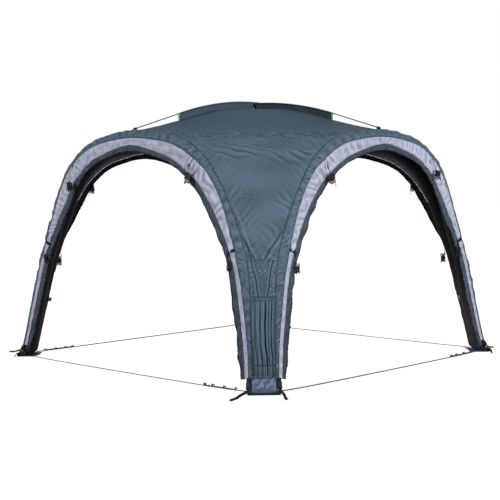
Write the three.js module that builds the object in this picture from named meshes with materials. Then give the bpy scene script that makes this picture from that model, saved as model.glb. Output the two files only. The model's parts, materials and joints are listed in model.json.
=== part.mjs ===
// Inflatable shelter: four air beams arched along the sides of a square, one canopy over them.
// Millimetres, +Z up, origin on the ground under the middle, arches along the X and Y sides.
import * as THREE from "three";

// Driving sizes
const BEAM_R = 58;
const SLEEVE_R = 60;
const SLEEVE_V = 0.72;
const COVER_R = 65;
const CLOTH = 2;
const EDGE_GAP = 0.8;
const PANEL_SEAM_V = 0.65;
const CROWN_SEAM_V = 0.0002;
const HEM_V = 0.985;
const VALANCE_OUT = 67;
const ROOF_STEPS = 11;
const FIN_TO = 960;
const FIN_BASE_GAP = 3.4;
const POLE_R = 4.5;
const POLE_TIP_R = 7;
const POLE_TIP = 1486;
const POLE_APEX = 2366;
const POLE_CROSS_DROP = 12;
const POLE_AT_FIN_END = 2218;
const CORD_R = 2;
const CORD_END = 1362;

// Beam centre line from crown to foot: share of the arch, along the side, outward, height
const ARCH = [
  [0.0, 0, 1466, 1990],
  [0.1, 290, 1464, 1968],
  [0.21, 580, 1457, 1903],
  [0.28, 745, 1450, 1815],
  [0.35, 890, 1438, 1700],
  [0.44, 1030, 1430, 1500],
  [0.52, 1122, 1434, 1300],
  [0.615, 1212, 1447, 1070],
  [0.68, 1272, 1461, 900],
  [0.79, 1345, 1484, 610],
  [0.9, 1408, 1512, 320],
  [1.0, 1453, 1547, 68],
];

// Share of the arch against the angle of the canopy seam round the beam, degrees
const SEAM_ANGLE = [
  [0.0, 100],
  [0.22, 84],
  [0.29, 70],
  [0.36, 51],
  [0.45, 50],
  [0.52, 60],
  [0.645, 73],
  [0.7, 66],
  [0.76, 52],
  [0.87, 31],
  [1.0, 27],
];

// Share of the arch against the depth of the light strip and of the strip with its dark band
const VALANCE = [
  [0.0, 61, 116],
  [0.05, 73, 122],
  [0.1, 91, 137],
  [0.15, 107, 152],
  [0.2, 118, 162],
  [0.25, 127, 172],
  [0.3, 133, 182],
  [0.36, 134, 189],
  [0.44, 119, 182],
  [0.52, 86, 156],
  [0.6, 58, 119],
  [0.632, 51, 109],
  [0.66, 46, 108],
  [0.72, 45, 112],
  [0.8, 44, 113],
  [0.9, 41, 108],
  [0.95, 40, 98],
  [1.0, 38, 76],
];

// Distance from the middle against the height of the roof along a pole
const ROOF_RIDGE = [
  [0, 2308],
  [480, 2271],
  [960, 2160],
  [1200, 2103],
  [1455, 2053],
];

// Outward swell of the skin between two beams, by share of the arch
const SWELL = [
  [0.0, 6],
  [0.12, -8],
  [0.3, 0],
  [0.65, 3],
  [0.8, 7],
  [1.0, 7],
];

// Where the arch parts are cut into straight runs
const STATIONS = [0, 0.07, 0.14, 0.2, 0.26, 0.31, 0.36, 0.41, 0.46, 0.52, 0.58, 0.645, 0.72, 0.8, 0.88, 0.94, HEM_V];
const SKIN_STATIONS = [0, 0.07, 0.14, 0.2, 0.26, 0.31, 0.36, 0.41, 0.46, 0.52, 0.58, 0.6495];
const LEG_STATIONS = [0.6505, 0.685, 0.72, 0.8, 0.88, 0.94, HEM_V];
const FIN_STATIONS = [12, 250, 500, 740, 960];

const black = 0x232428;
const colours = {
  teal: 0x4d6170,
  light: 0xb6b6c8,
  band: 0x3c4d5a,
  pvc: 0x53688a,
  valve: 0x7fa9c6,
};

// Smooth curve through a table, columns after the first interpolated by the first
function along(table, x) {
  let i = 0;
  while (i < table.length - 2 && x > table[i + 1][0]) i += 1;
  const slope = (k, c) => (table[k + 1][c] - table[k][c]) / (table[k + 1][0] - table[k][0]);
  const tangent = (k, c) => {
    if (k === 0) return slope(0, c);
    if (k === table.length - 1) return slope(k - 1, c);
    const before = table[k][0] - table[k - 1][0];
    const after = table[k + 1][0] - table[k][0];
    return (slope(k - 1, c) * after + slope(k, c) * before) / (before + after);
  };
  const h = table[i + 1][0] - table[i][0];
  const t = (x - table[i][0]) / h;
  const out = [];
  for (let c = 1; c < table[0].length; c += 1) {
    const a = (2 * t ** 3 - 3 * t ** 2 + 1) * table[i][c];
    const b = (t ** 3 - 2 * t ** 2 + t) * h * tangent(i, c);
    const d = (-2 * t ** 3 + 3 * t ** 2) * table[i + 1][c];
    const e = (t ** 3 - t ** 2) * h * tangent(i + 1, c);
    out.push(a + b + d + e);
  }
  return out;
}

// The arch table carried over the crown, so both halves meet smoothly
const WHOLE_ARCH = [
  ...ARCH.slice(1).reverse().map((r) => [-r[0], -r[1], r[2], r[3]]),
  ...ARCH,
];

const beamCentre = (v) => new THREE.Vector3(...along(WHOLE_ARCH, v));

// Directions across the beam: out of the shelter, and away from the doorway
function beamFrame(v) {
  const tangent = beamCentre(v + 0.001).sub(beamCentre(v - 0.001)).normalize();
  const out = new THREE.Vector3(0, 1, 0).addScaledVector(tangent, -tangent.y).normalize();
  const away = new THREE.Vector3().crossVectors(tangent, out);
  return { out, away };
}

function atBeam(v, outBy, awayBy) {
  const { out, away } = beamFrame(v);
  return beamCentre(v).addScaledVector(out, outBy).addScaledVector(away, awayBy);
}

function roundBeam(v, degrees, radius) {
  const a = THREE.MathUtils.degToRad(degrees);
  return atBeam(v, radius * Math.cos(a), radius * Math.sin(a));
}

const seamAngle = (v) => along(SEAM_ANGLE, Math.abs(v))[0];

// Side coordinates to the row frame, for side 0 to 3 round the shelter
function place(p, side) {
  let x = p.x;
  let y = -p.y;
  for (let k = 0; k < side; k += 1) [x, y] = [-y, x];
  return new THREE.Vector3(x, y, p.z);
}

// Corner coordinates (across, outward from the middle, height) to the row frame
function corner(across, outward, z, k) {
  const h = Math.SQRT1_2;
  let x = (outward + across) * h;
  let y = (-outward + across) * h;
  for (let i = 0; i < k; i += 1) [x, y] = [-y, x];
  return new THREE.Vector3(x, y, z);
}

function closedGeometry(points, faces) {
  let volume = 0;
  for (const [a, b, c] of faces) {
    volume += points[a].dot(new THREE.Vector3().crossVectors(points[b], points[c]));
  }
  const turned = volume > 0 ? faces : faces.map(([a, b, c]) => [a, c, b]);
  const geometry = new THREE.BufferGeometry();
  geometry.setAttribute("position", new THREE.Float32BufferAttribute(points.flatMap((p) => [p.x, p.y, p.z]), 3));
  geometry.setIndex(turned.flat());
  geometry.computeVertexNormals();
  return geometry;
}

// Sheet of even thickness round a middle surface
function thicken(points, faces, thickness) {
  const normals = points.map(() => new THREE.Vector3());
  const edges = new Map();
  for (const [a, b, c] of faces) {
    const ab = points[b].clone().sub(points[a]);
    const n = ab.cross(points[c].clone().sub(points[a]));
    for (const k of [a, b, c]) normals[k].add(n);
    for (const [p, q] of [[a, b], [b, c], [c, a]]) {
      if (edges.has(`${q},${p}`)) edges.delete(`${q},${p}`);
      else edges.set(`${p},${q}`, [p, q]);
    }
  }
  const n = points.length;
  const shift = (s) => points.map((p, i) => p.clone().addScaledVector(normals[i].clone().normalize(), s));
  const all = [...shift(thickness / 2), ...shift(-thickness / 2)];
  const tris = [...faces, ...faces.map(([a, b, c]) => [a + n, c + n, b + n])];
  for (const [p, q] of edges.values()) {
    tris.push([q, p, p + n], [q, p + n, q + n]);
  }
  return closedGeometry(all, tris);
}

function gridSheet(rows, cols, at, thickness) {
  const points = [];
  const faces = [];
  for (let i = 0; i <= rows; i += 1) {
    for (let j = 0; j <= cols; j += 1) points.push(at(i, j));
  }
  const w = cols + 1;
  for (let i = 0; i < rows; i += 1) {
    for (let j = 0; j < cols; j += 1) {
      const a = i * w + j;
      faces.push([a, a + 1, a + w + 1], [a, a + w + 1, a + w]);
    }
  }
  return thicken(points, faces, thickness);
}

// Solid through a row of closed sections, capped flat at both ends
function loft(sections) {
  const n = sections[0].length;
  const points = sections.flat();
  const faces = [];
  for (let i = 0; i < sections.length - 1; i += 1) {
    for (let j = 0; j < n; j += 1) {
      const a = i * n + j;
      const b = i * n + ((j + 1) % n);
      faces.push([a, b, b + n], [a, b + n, a + n]);
    }
  }
  const last = (sections.length - 1) * n;
  const flat = sections[0].outline ?? null;
  const cap = flat ? THREE.ShapeUtils.triangulateShape(flat, []) : fan(n);
  for (const [a, b, c] of cap) {
    faces.push([a, c, b], [a + last, b + last, c + last]);
  }
  return closedGeometry(points, faces);
}

function fan(n) {
  const out = [];
  for (let j = 1; j < n - 1; j += 1) out.push([0, j, j + 1]);
  return out;
}

// Round or flat bar along a path: each station gives half its width, half its thickness and its up
function bar(path, halves, sides, ups) {
  const sections = path.map((p, i) => {
    const up = ups[i] ?? ups;
    const before = path[Math.max(i - 1, 0)];
    const after = path[Math.min(i + 1, path.length - 1)];
    const tangent = after.clone().sub(before).normalize();
    const wide = new THREE.Vector3().crossVectors(tangent, up).normalize();
    const thick = new THREE.Vector3().crossVectors(wide, tangent);
    const [w, h] = halves[i];
    const ring = [];
    for (let j = 0; j < sides; j += 1) {
      const a = ((j + 0.5) / sides) * Math.PI * 2;
      const k = sides === 4 ? Math.SQRT2 : 1;
      const q = p.clone().addScaledVector(wide, w * k * Math.cos(a));
      ring.push(q.addScaledVector(thick, h * k * Math.sin(a)));
    }
    return ring;
  });
  return loft(sections);
}

const group = new THREE.Group();
group.name = "inflatable_shelter";

function add(name, geometry, color, roughness) {
  const material = new THREE.MeshStandardMaterial({ color, roughness, metalness: 0 });
  const mesh = new THREE.Mesh(geometry, material);
  mesh.name = name;
  group.add(mesh);
}

// Both halves of the stations, foot to foot
const bothWays = (list) => [...list.slice(1).reverse().map((v) => -v), ...list];

// Skin between two beams at a corner, c from -1 on one beam to 1 on the other
function skin(v, c, k) {
  const a = roundBeam(v, seamAngle(v), COVER_R);
  const one = corner((a.x - a.y) * Math.SQRT1_2, (a.x + a.y) * Math.SQRT1_2, a.z, k);
  const two = corner((a.y - a.x) * Math.SQRT1_2, (a.x + a.y) * Math.SQRT1_2, a.z, k);
  const half = one.distanceTo(two) / 2;
  const reach = c * (1 - EDGE_GAP / half);
  const p = one.clone().lerp(two, (1 + reach) / 2);
  const low = roundBeam(v + 0.01, seamAngle(v + 0.01), COVER_R);
  const high = roundBeam(v - 0.01, seamAngle(v - 0.01), COVER_R);
  const run = (low.x + low.y - high.x - high.y) * Math.SQRT1_2;
  const fall = high.z - low.z;
  const swell = along(SWELL, v)[0] * (1 - c ** 4) + fold(v, c);
  const size = Math.hypot(run, fall);
  const outward = corner(0, fall / size, run / size, k);
  return p.addScaledVector(outward, swell);
}

// Soft upright folds of the leg panel
function fold(v, c) {
  if (v < PANEL_SEAM_V) return 0;
  const depth = Math.min((v - PANEL_SEAM_V) * 30, 4);
  return depth * (1 - c * c) * (0.5 + 0.5 * Math.cos(c * 9.4 + v * 3));
}

function roofPoint(i, j, k) {
  const r = (i / ROOF_STEPS) * 1455;
  const top = roundBeam(0, seamAngle(0), COVER_R);
  const reach = (i / ROOF_STEPS) * (top.y - EDGE_GAP * (i === ROOF_STEPS ? 1 : 0));
  const c = i === 0 ? 0 : (2 * j) / i - 1;
  const across = (reach * c) * Math.SQRT1_2;
  const z = along(ROOF_RIDGE, r)[0] + 6 * (r / 1455) * (1 - c * c);
  return corner(across, reach * Math.SQRT1_2, z, k);
}

function canopy() {
  const points = [];
  const faces = [];
  const seen = new Map();
  const index = (p) => {
    const key = [p.x, p.y, p.z].map((n) => Math.round(n * 20)).join(",");
    if (!seen.has(key)) {
      seen.set(key, points.length);
      points.push(p);
    }
    return seen.get(key);
  };
  for (let k = 0; k < 4; k += 1) {
    const roof = [];
    for (let i = 0; i <= ROOF_STEPS; i += 1) {
      const row = [];
      for (let j = 0; j <= i; j += 1) row.push(index(roofPoint(i, j, k)));
      roof.push(row);
    }
    for (let i = 0; i < ROOF_STEPS; i += 1) {
      for (let j = 0; j <= i; j += 1) {
        faces.push([roof[i][j], roof[i + 1][j + 1], roof[i + 1][j]]);
        if (j < i) faces.push([roof[i][j], roof[i][j + 1], roof[i + 1][j + 1]]);
      }
    }
    let above = roof[ROOF_STEPS];
    for (const v of SKIN_STATIONS.slice(1)) {
      const row = [];
      for (let j = 0; j <= ROOF_STEPS; j += 1) row.push(index(skin(v, (2 * j) / ROOF_STEPS - 1, k)));
      for (let j = 0; j < ROOF_STEPS; j += 1) {
        faces.push([above[j], row[j + 1], row[j]], [above[j], above[j + 1], row[j + 1]]);
      }
      above = row;
    }
  }
  return thicken(points, faces, CLOTH);
}

add("canopy", canopy(), colours.teal, 0.75);

// Leg panels, one at each corner
for (let k = 0; k < 4; k += 1) {
  const at = (i, j) => skin(LEG_STATIONS[i], j / 5 - 1, k);
  add(`leg_panel_${k + 1}`, gridSheet(LEG_STATIONS.length - 1, 10, at, CLOTH), colours.teal, 0.75);
}

// Air beam with rounded feet, a little thicker where its cloth sleeve covers it
function airBeam(side) {
  const sides = 10;
  const rings = [];
  const ring = (v, radius, lower) => {
    const out = [];
    for (let j = 0; j < sides; j += 1) {
      const p = roundBeam(v, (j / sides) * 360, radius);
      const dip = beamCentre(v).sub(beamCentre(v - Math.sign(v) * 0.01)).normalize();
      out.push(place(p.addScaledVector(dip, lower), side));
    }
    rings.push(out);
  };
  const end = (sign) => {
    const steps = [80, 52, 25];
    for (const a of sign < 0 ? steps : [...steps].reverse()) {
      const t = THREE.MathUtils.degToRad(a);
      ring(sign, BEAM_R * Math.cos(t), BEAM_R * Math.sin(t));
    }
  };
  end(-1);
  const stations = [...STATIONS, SLEEVE_V + 0.004, 1];
  stations.sort((a, b) => a - b);
  for (const v of bothWays(stations)) {
    ring(v, Math.abs(v) > SLEEVE_V ? BEAM_R : SLEEVE_R, 0);
  }
  end(1);
  return loft(rings);
}

// Cloth band of the canopy round the outside of the beam, from the canopy seam to the light strip
function beamCover(side) {
  const list = bothWays(STATIONS);
  const gap = THREE.MathUtils.radToDeg(EDGE_GAP / COVER_R);
  const at = (i, j) => {
    const v = list[i];
    const from = gap;
    const to = seamAngle(v) - gap;
    return place(roundBeam(v, from + ((to - from) * j) / 3, COVER_R), side);
  };
  return gridSheet(list.length - 1, 3, at, CLOTH);
}

// Band hanging from the beam towards the doorway, between two depths
function valance(side, column, list) {
  const at = (i, j) => {
    const v = list[i];
    const depths = [0, ...along(VALANCE, Math.abs(v))];
    const top = depths[column] + EDGE_GAP;
    const low = depths[column + 1] - (column === 0 ? EDGE_GAP : 0);
    const depth = top + (low - top) * j;
    const lean = depth > depths[1] ? 3 * ((depth - depths[1]) / 50) : 0;
    return place(atBeam(v, VALANCE_OUT - lean, -depth), side);
  };
  return gridSheet(list.length - 1, 1, at, CLOTH);
}

for (let side = 0; side < 4; side += 1) {
  const n = side + 1;
  add(`air_beam_${n}`, airBeam(side), black, 0.45);
  add(`beam_cover_${n}`, beamCover(side), colours.teal, 0.75);
  add(`eave_strip_${n}`, valance(side, 0, bothWays(STATIONS)), colours.light, 0.8);
  const half = [CROWN_SEAM_V, ...STATIONS.slice(1)];
  add(`eave_band_${n}_1`, valance(side, 1, half.map((v) => -v)), colours.band, 0.8);
  add(`eave_band_${n}_2`, valance(side, 1, half), colours.band, 0.8);
}

// Roof poles, one above the other where they cross
function poleHeight(r, drop) {
  const apex = POLE_APEX - drop;
  const fall = apex - POLE_AT_FIN_END;
  if (Math.abs(r) <= FIN_TO) return apex - fall * (r / FIN_TO) ** 2;
  const tip = 2063;
  return POLE_AT_FIN_END + (tip - POLE_AT_FIN_END) * ((Math.abs(r) - FIN_TO) / (POLE_TIP - FIN_TO));
}

function roofPole(drop, side) {
  const outer = [...FIN_STATIONS, POLE_TIP - 26, POLE_TIP - 24, POLE_TIP];
  const list = [...[...outer].reverse().map((r) => -r), ...outer];
  const path = list.map((r) => place(new THREE.Vector3(0, r, poleHeight(r, drop)), side));
  const radius = list.map((r) => (Math.abs(r) > POLE_TIP - 25 ? POLE_TIP_R : POLE_R));
  const up = new THREE.Vector3(0, 0, 1);
  return bar(path, radius.map((r) => [r, r]), 8, up);
}

// Upright sleeve on the roof: one strip of cloth folded over the pole
function poleSleeve(side, drop) {
  const outer = 7.2;
  const inner = 6;
  const arc = (r, from, to) => {
    const out = [];
    for (let j = 0; j <= 5; j += 1) {
      const a = THREE.MathUtils.degToRad(from + ((to - from) * j) / 5);
      out.push([r * Math.cos(a), r * Math.sin(a)]);
    }
    return out;
  };
  const loop = [...arc(outer, -78, 258), ...arc(inner, 267, -87)];
  const sections = FIN_STATIONS.map((r) => {
    const z = poleHeight(r, drop);
    const base = along(ROOF_RIDGE, r)[0] + CLOTH / 2 + FIN_BASE_GAP;
    const low = base - z;
    const outline = [[1.5, low], ...loop.slice(0, 6), [-1.5, low], [-0.3, low], ...loop.slice(6), [0.3, low]];
    const ring = outline.map(([u, w]) => place(new THREE.Vector3(u, r, z + w), side));
    ring.outline = outline.map(([u, w]) => new THREE.Vector2(u, w));
    return ring;
  });
  return loft(sections);
}

add("roof_pole_1", roofPole(0, 0), black, 0.4);
add("roof_pole_2", roofPole(POLE_CROSS_DROP, 1), black, 0.4);
for (let side = 0; side < 4; side += 1) {
  add(`pole_sleeve_${side + 1}`, poleSleeve(side, side % 2 ? POLE_CROSS_DROP : 0), colours.band, 0.8);
}

// Blue-grey pouch under and in front of the beam ends: half width, outward, height
const PAD = [
  [70, 2168.2, 137],
  [77, 2172.8, 117],
  [85, 2186, 96],
  [89, 2195, 64],
  [92, 2199, 28],
  [98, 2193, 10],
  [112, 2170, 6.5],
  [120, 2100, 6.5],
  [118, 2030, 6.5],
  [108, 1998, 9],
  [98, 1984, 17],
];

// Black base strap under the pouch, turned up at the front
const BASE = [
  [124, 2229, 22],
  [126, 2230, 9],
  [127, 2222, 2],
  [127, 2130, 2],
  [127, 2040, 2],
];

function bentSheet(table, cols, thickness, k) {
  const at = (i, j) => {
    const [half, outward, z] = table[i];
    return corner(half * ((2 * j) / cols - 1), outward, z, k);
  };
  return gridSheet(table.length - 1, cols, at, thickness);
}

for (let k = 0; k < 4; k += 1) {
  add(`foot_pouch_${k + 1}`, bentSheet(PAD, 4, 3, k), colours.pvc, 0.5);
  add(`foot_base_${k + 1}`, bentSheet(BASE, 2, 4, k), black, 0.7);
}

// Screw valve on each beam, facing the middle of the shelter
const VALVE_V = 0.82;
const VALVE = [[0, 0], [17, 0], [17, 9], [13, 10], [13, 14], [20, 15], [20, 26], [17, 29], [0, 29]];

for (let side = 0; side < 4; side += 1) {
  const lathe = new THREE.LatheGeometry(VALVE.map(([r, h]) => new THREE.Vector2(r, h)), 12);
  const base = place(roundBeam(VALVE_V, 215, BEAM_R + 0.6), side);
  const tip = place(roundBeam(VALVE_V, 215, BEAM_R + 30), side);
  const axis = tip.sub(base).normalize();
  const turn = new THREE.Quaternion().setFromUnitVectors(new THREE.Vector3(0, 1, 0), axis);
  lathe.applyQuaternion(turn);
  lathe.translate(base.x, base.y, base.z);
  add(`valve_${side + 1}`, lathe, colours.valve, 0.4);
}

// Ground cords from foot to foot: along the side, outward, height
for (let side = 0; side < 4; side += 1) {
  const path = [];
  for (let i = 0; i <= 10; i += 1) {
    const u = i / 5 - 1;
    const bow = 12 * (1 - u * u);
    const lift = 5 * Math.abs(u) ** 8;
    path.push(place(new THREE.Vector3(u * CORD_END, 1580 + bow, CORD_R + 0.3 + lift), side));
  }
  add(`ground_cord_${side + 1}`, bar(path, path.map(() => [CORD_R, CORD_R]), 8, new THREE.Vector3(0, 0, 1)), 0x6b6d70, 0.8);
}

// Webbing straps with their buckles: tail end across and outward, for the two straps of each foot
const TAILS = [
  [[-267, 2443], [166, 2431]],
  [[-257, 2215], [150, 2330]],
  [[-267, 2443], [166, 2431]],
  [[-180, 2360], [205, 2250]],
];

for (let k = 0; k < 4; k += 1) {
  for (const [i, sign] of [[0, -1], [1, 1]]) {
    const [endAcross, endOut] = TAILS[k][i];
    const points = [
      [118 * sign, 2171, 116, 10, 1.2],
      [121 * sign, 2183, 96, 10, 1.2],
      [121 * sign, 2186, 90, 17, 5],
      [120 * sign, 2203, 44, 17, 5],
      [120 * sign, 2207, 36, 10, 1.2],
      [128 * sign, 2232, 30, 10, 1.2],
    ];
    for (const t of [0.35, 0.7, 1]) {
      const across = 128 * sign + (endAcross - 128 * sign) * t;
      points.push([across, 2232 + (endOut - 2232) * t, 30 - 28 * Math.min(t * 1.35, 1), 10, 1.2]);
    }
    const path = points.map(([a, o, z]) => corner(a, o, z, k));
    const halves = points.map((p) => [p[3], p[4]]);
    const flatOnGround = new THREE.Vector3(0, 0, 1);
    const ups = points.map((p, j) => (j > 5 ? flatOnGround : corner(0, 0.8, 0.6, k)));
    add(`foot_strap_${k + 1}_${i + 1}`, bar(path, halves, 4, ups), black, 0.6);
  }
}

// Tied guy lines at the shoulders of the two front arches: along, outward, height, half width, half depth
const TIED_LINE = [
  [782, 1537, 1812, 2.5, 2.5],
  [770, 1541, 1772, 2.5, 2.5],
  [768, 1543, 1768, 8, 5],
  [764, 1544, 1742, 8, 5],
  [762, 1545, 1738, 2.5, 2.5],
  [752, 1549, 1668, 3, 3],
  [750, 1556, 1660, 17, 12],
  [745, 1560, 1632, 30, 17],
  [738, 1560, 1596, 27, 17],
  [732, 1558, 1566, 12, 9],
];

for (let side = 0; side < 2; side += 1) {
  for (const [i, sign] of [[0, -1], [1, 1]]) {
    const path = TIED_LINE.map(([s, t, z]) => place(new THREE.Vector3(s * sign, t, z), side));
    const halves = TIED_LINE.map((r) => [r[3], r[4]]);
    const up = place(new THREE.Vector3(0, 1, 0), side);
    add(`tied_line_${side + 1}_${i + 1}`, bar(path, halves, 6, up), black, 0.7);
  }
}

export default group;
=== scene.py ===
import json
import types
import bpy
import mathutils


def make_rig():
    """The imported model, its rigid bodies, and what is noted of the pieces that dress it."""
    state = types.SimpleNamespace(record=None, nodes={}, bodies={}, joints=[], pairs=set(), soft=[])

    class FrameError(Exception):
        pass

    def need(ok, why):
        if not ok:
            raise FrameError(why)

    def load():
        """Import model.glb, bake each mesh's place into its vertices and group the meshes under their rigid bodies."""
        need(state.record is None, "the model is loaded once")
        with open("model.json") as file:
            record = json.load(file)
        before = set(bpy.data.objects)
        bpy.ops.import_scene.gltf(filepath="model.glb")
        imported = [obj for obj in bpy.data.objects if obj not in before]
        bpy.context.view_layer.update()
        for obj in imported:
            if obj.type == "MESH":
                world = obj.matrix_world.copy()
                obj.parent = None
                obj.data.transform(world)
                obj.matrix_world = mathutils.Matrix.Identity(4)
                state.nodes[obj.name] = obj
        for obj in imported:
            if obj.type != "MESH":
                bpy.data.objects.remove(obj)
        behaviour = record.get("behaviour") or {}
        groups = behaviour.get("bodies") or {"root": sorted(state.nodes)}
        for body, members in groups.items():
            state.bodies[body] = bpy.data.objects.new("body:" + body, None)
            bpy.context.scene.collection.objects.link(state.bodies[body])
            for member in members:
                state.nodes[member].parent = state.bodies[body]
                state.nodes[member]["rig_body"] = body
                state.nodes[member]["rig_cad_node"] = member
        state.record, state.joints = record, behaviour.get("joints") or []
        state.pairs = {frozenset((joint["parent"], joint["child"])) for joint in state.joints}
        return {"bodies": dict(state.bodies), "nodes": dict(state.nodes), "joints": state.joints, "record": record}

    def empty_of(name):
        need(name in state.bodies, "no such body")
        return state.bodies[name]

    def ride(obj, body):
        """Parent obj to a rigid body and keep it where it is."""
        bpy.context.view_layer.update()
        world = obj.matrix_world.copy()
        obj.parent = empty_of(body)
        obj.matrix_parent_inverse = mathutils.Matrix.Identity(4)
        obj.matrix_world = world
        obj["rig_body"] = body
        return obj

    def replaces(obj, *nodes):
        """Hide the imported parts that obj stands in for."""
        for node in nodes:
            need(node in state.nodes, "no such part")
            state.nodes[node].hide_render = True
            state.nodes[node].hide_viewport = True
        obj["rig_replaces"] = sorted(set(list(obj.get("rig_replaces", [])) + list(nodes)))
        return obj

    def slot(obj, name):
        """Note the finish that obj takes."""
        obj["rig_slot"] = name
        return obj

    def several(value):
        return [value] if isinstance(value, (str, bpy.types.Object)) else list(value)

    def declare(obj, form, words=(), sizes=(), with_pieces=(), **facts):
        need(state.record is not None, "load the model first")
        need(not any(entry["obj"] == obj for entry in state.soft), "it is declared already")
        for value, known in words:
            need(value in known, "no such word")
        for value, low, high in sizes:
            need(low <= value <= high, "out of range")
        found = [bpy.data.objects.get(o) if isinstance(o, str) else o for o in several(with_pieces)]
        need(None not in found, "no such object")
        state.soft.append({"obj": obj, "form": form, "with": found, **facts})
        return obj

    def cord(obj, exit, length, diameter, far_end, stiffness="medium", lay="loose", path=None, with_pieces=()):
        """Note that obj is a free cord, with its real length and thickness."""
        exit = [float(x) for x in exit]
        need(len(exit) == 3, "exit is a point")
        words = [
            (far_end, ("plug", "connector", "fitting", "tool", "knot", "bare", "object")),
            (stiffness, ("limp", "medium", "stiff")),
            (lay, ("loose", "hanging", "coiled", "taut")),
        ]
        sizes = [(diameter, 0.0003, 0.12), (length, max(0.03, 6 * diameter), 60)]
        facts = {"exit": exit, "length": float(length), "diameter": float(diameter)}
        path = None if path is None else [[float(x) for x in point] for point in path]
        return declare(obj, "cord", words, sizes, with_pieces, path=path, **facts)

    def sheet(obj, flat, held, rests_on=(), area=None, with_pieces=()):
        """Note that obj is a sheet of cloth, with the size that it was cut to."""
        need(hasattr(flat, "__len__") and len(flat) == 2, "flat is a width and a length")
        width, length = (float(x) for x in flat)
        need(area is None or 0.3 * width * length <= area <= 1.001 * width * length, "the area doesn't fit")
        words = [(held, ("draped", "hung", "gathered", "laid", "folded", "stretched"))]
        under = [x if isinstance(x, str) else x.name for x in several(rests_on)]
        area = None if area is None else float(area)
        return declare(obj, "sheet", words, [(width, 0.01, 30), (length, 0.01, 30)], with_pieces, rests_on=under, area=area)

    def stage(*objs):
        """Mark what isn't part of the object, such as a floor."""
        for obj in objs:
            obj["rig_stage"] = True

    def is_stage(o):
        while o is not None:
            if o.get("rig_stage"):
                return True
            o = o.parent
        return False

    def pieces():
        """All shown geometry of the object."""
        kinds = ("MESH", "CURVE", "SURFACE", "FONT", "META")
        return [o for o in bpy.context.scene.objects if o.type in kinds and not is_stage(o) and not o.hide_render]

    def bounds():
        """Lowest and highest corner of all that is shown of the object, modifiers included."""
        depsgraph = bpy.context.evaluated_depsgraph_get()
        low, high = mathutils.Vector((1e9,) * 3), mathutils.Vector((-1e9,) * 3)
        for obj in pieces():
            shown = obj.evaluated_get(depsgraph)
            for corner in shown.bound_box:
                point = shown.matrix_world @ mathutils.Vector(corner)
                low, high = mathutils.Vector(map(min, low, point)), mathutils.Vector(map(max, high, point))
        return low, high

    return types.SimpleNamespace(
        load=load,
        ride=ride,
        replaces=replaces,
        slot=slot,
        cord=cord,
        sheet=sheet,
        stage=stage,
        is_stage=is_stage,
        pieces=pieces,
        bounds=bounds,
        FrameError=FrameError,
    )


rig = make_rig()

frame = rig.load()
CAD_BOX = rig.bounds()

import json
import math

import bpy
import numpy as np
from mathutils import Matrix, Vector

# The shelter's own sizes, in metres, as the solids have them
MM = 0.001
BEAM_R = 0.058
SLEEVE_R = 0.060
COVER_R = 0.065
VALANCE_OUT = 0.067  # from the beam's centre line out to the light strip
SEAM_GAP = 0.0008
CLOTH = 0.0012
ROOF_REACH = 1.455

# Places along the arch, as shares of it from the crown (0) to the foot (1)
SLEEVE_END = 0.722
KEEPER = 0.613
WAIST = 0.65
HEM = 0.985

UP = np.array([0, 0, 1.0])
OUT = np.array([0, 1.0, 0])  # out of the shelter, in side coordinates
DIAGONAL = math.sqrt(0.5)
ROUND = 6.283

# Beam centre line from crown to foot: share of the arch, along the side, outward, height
ARCH = np.array([
    (0.0, 0, 1466, 1990), (0.1, 290, 1464, 1968), (0.21, 580, 1457, 1903), (0.28, 745, 1450, 1815),
    (0.35, 890, 1438, 1700), (0.44, 1030, 1430, 1500), (0.52, 1122, 1434, 1300), (0.615, 1212, 1447, 1070),
    (0.68, 1272, 1461, 900), (0.79, 1345, 1484, 610), (0.9, 1408, 1512, 320), (1.0, 1453, 1547, 68),
]) * (1, MM, MM, MM)
WHOLE_ARCH = np.vstack([(ARCH[1:] * (-1, -1, 1, 1))[::-1], ARCH])

# By share of the arch: angle of the canopy seam round the beam, depths of the light strip and the dark band
SEAM_ANGLE = np.array([
    (0.0, 100), (0.22, 84), (0.29, 70), (0.36, 51), (0.45, 50), (0.52, 60), (0.645, 73), (0.7, 66),
    (0.76, 52), (0.87, 31), (1.0, 27),
])
VALANCE = np.array([
    (0.0, 61, 116), (0.05, 73, 122), (0.1, 91, 137), (0.15, 107, 152), (0.2, 118, 162), (0.25, 127, 172),
    (0.3, 133, 182), (0.36, 134, 189), (0.44, 119, 182), (0.52, 86, 156), (0.6, 58, 119), (0.632, 51, 109),
    (0.66, 46, 108), (0.72, 45, 112), (0.8, 44, 113), (0.9, 41, 108), (0.95, 40, 98), (1.0, 38, 76),
]) * (1, MM, MM)
# Height of the roof by distance from its top, and how far the skin between two beams swells by share of the arch
ROOF_RIDGE = np.array([(0, 2308), (480, 2271), (960, 2160), (1200, 2103), (1455, 2053)]) * MM
SWELL = np.array([(0.0, 6), (0.12, -8), (0.3, 0), (0.65, 3), (0.8, 7), (1.0, 7)]) * (1, MM)


def along(table, x):
    """Smooth curve through a table, read at x; one column of the answer for each further column."""
    xs, ys = table[:, 0], table[:, 1:]
    x = np.asarray(x, float)
    i = np.clip(np.searchsorted(xs, x, side="right") - 1, 0, len(xs) - 2)
    step = np.diff(xs)
    slope = np.diff(ys, axis=0) / step[:, None]
    lean = np.vstack([slope[:1], slope, slope[-1:]])
    before, after = np.r_[1, step], np.r_[step, 1]
    tangent = (lean[:-1] * after[:, None] + lean[1:] * before[:, None]) / (before + after)[:, None]
    t = ((x - xs[i]) / step[i])[..., None]
    h = step[i][..., None]
    return (
        (2 * t**3 - 3 * t**2 + 1) * ys[i]
        + (t**3 - 2 * t**2 + t) * h * tangent[i]
        + (3 * t**2 - 2 * t**3) * ys[i + 1]
        + (t**3 - t**2) * h * tangent[i + 1]
    )


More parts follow.
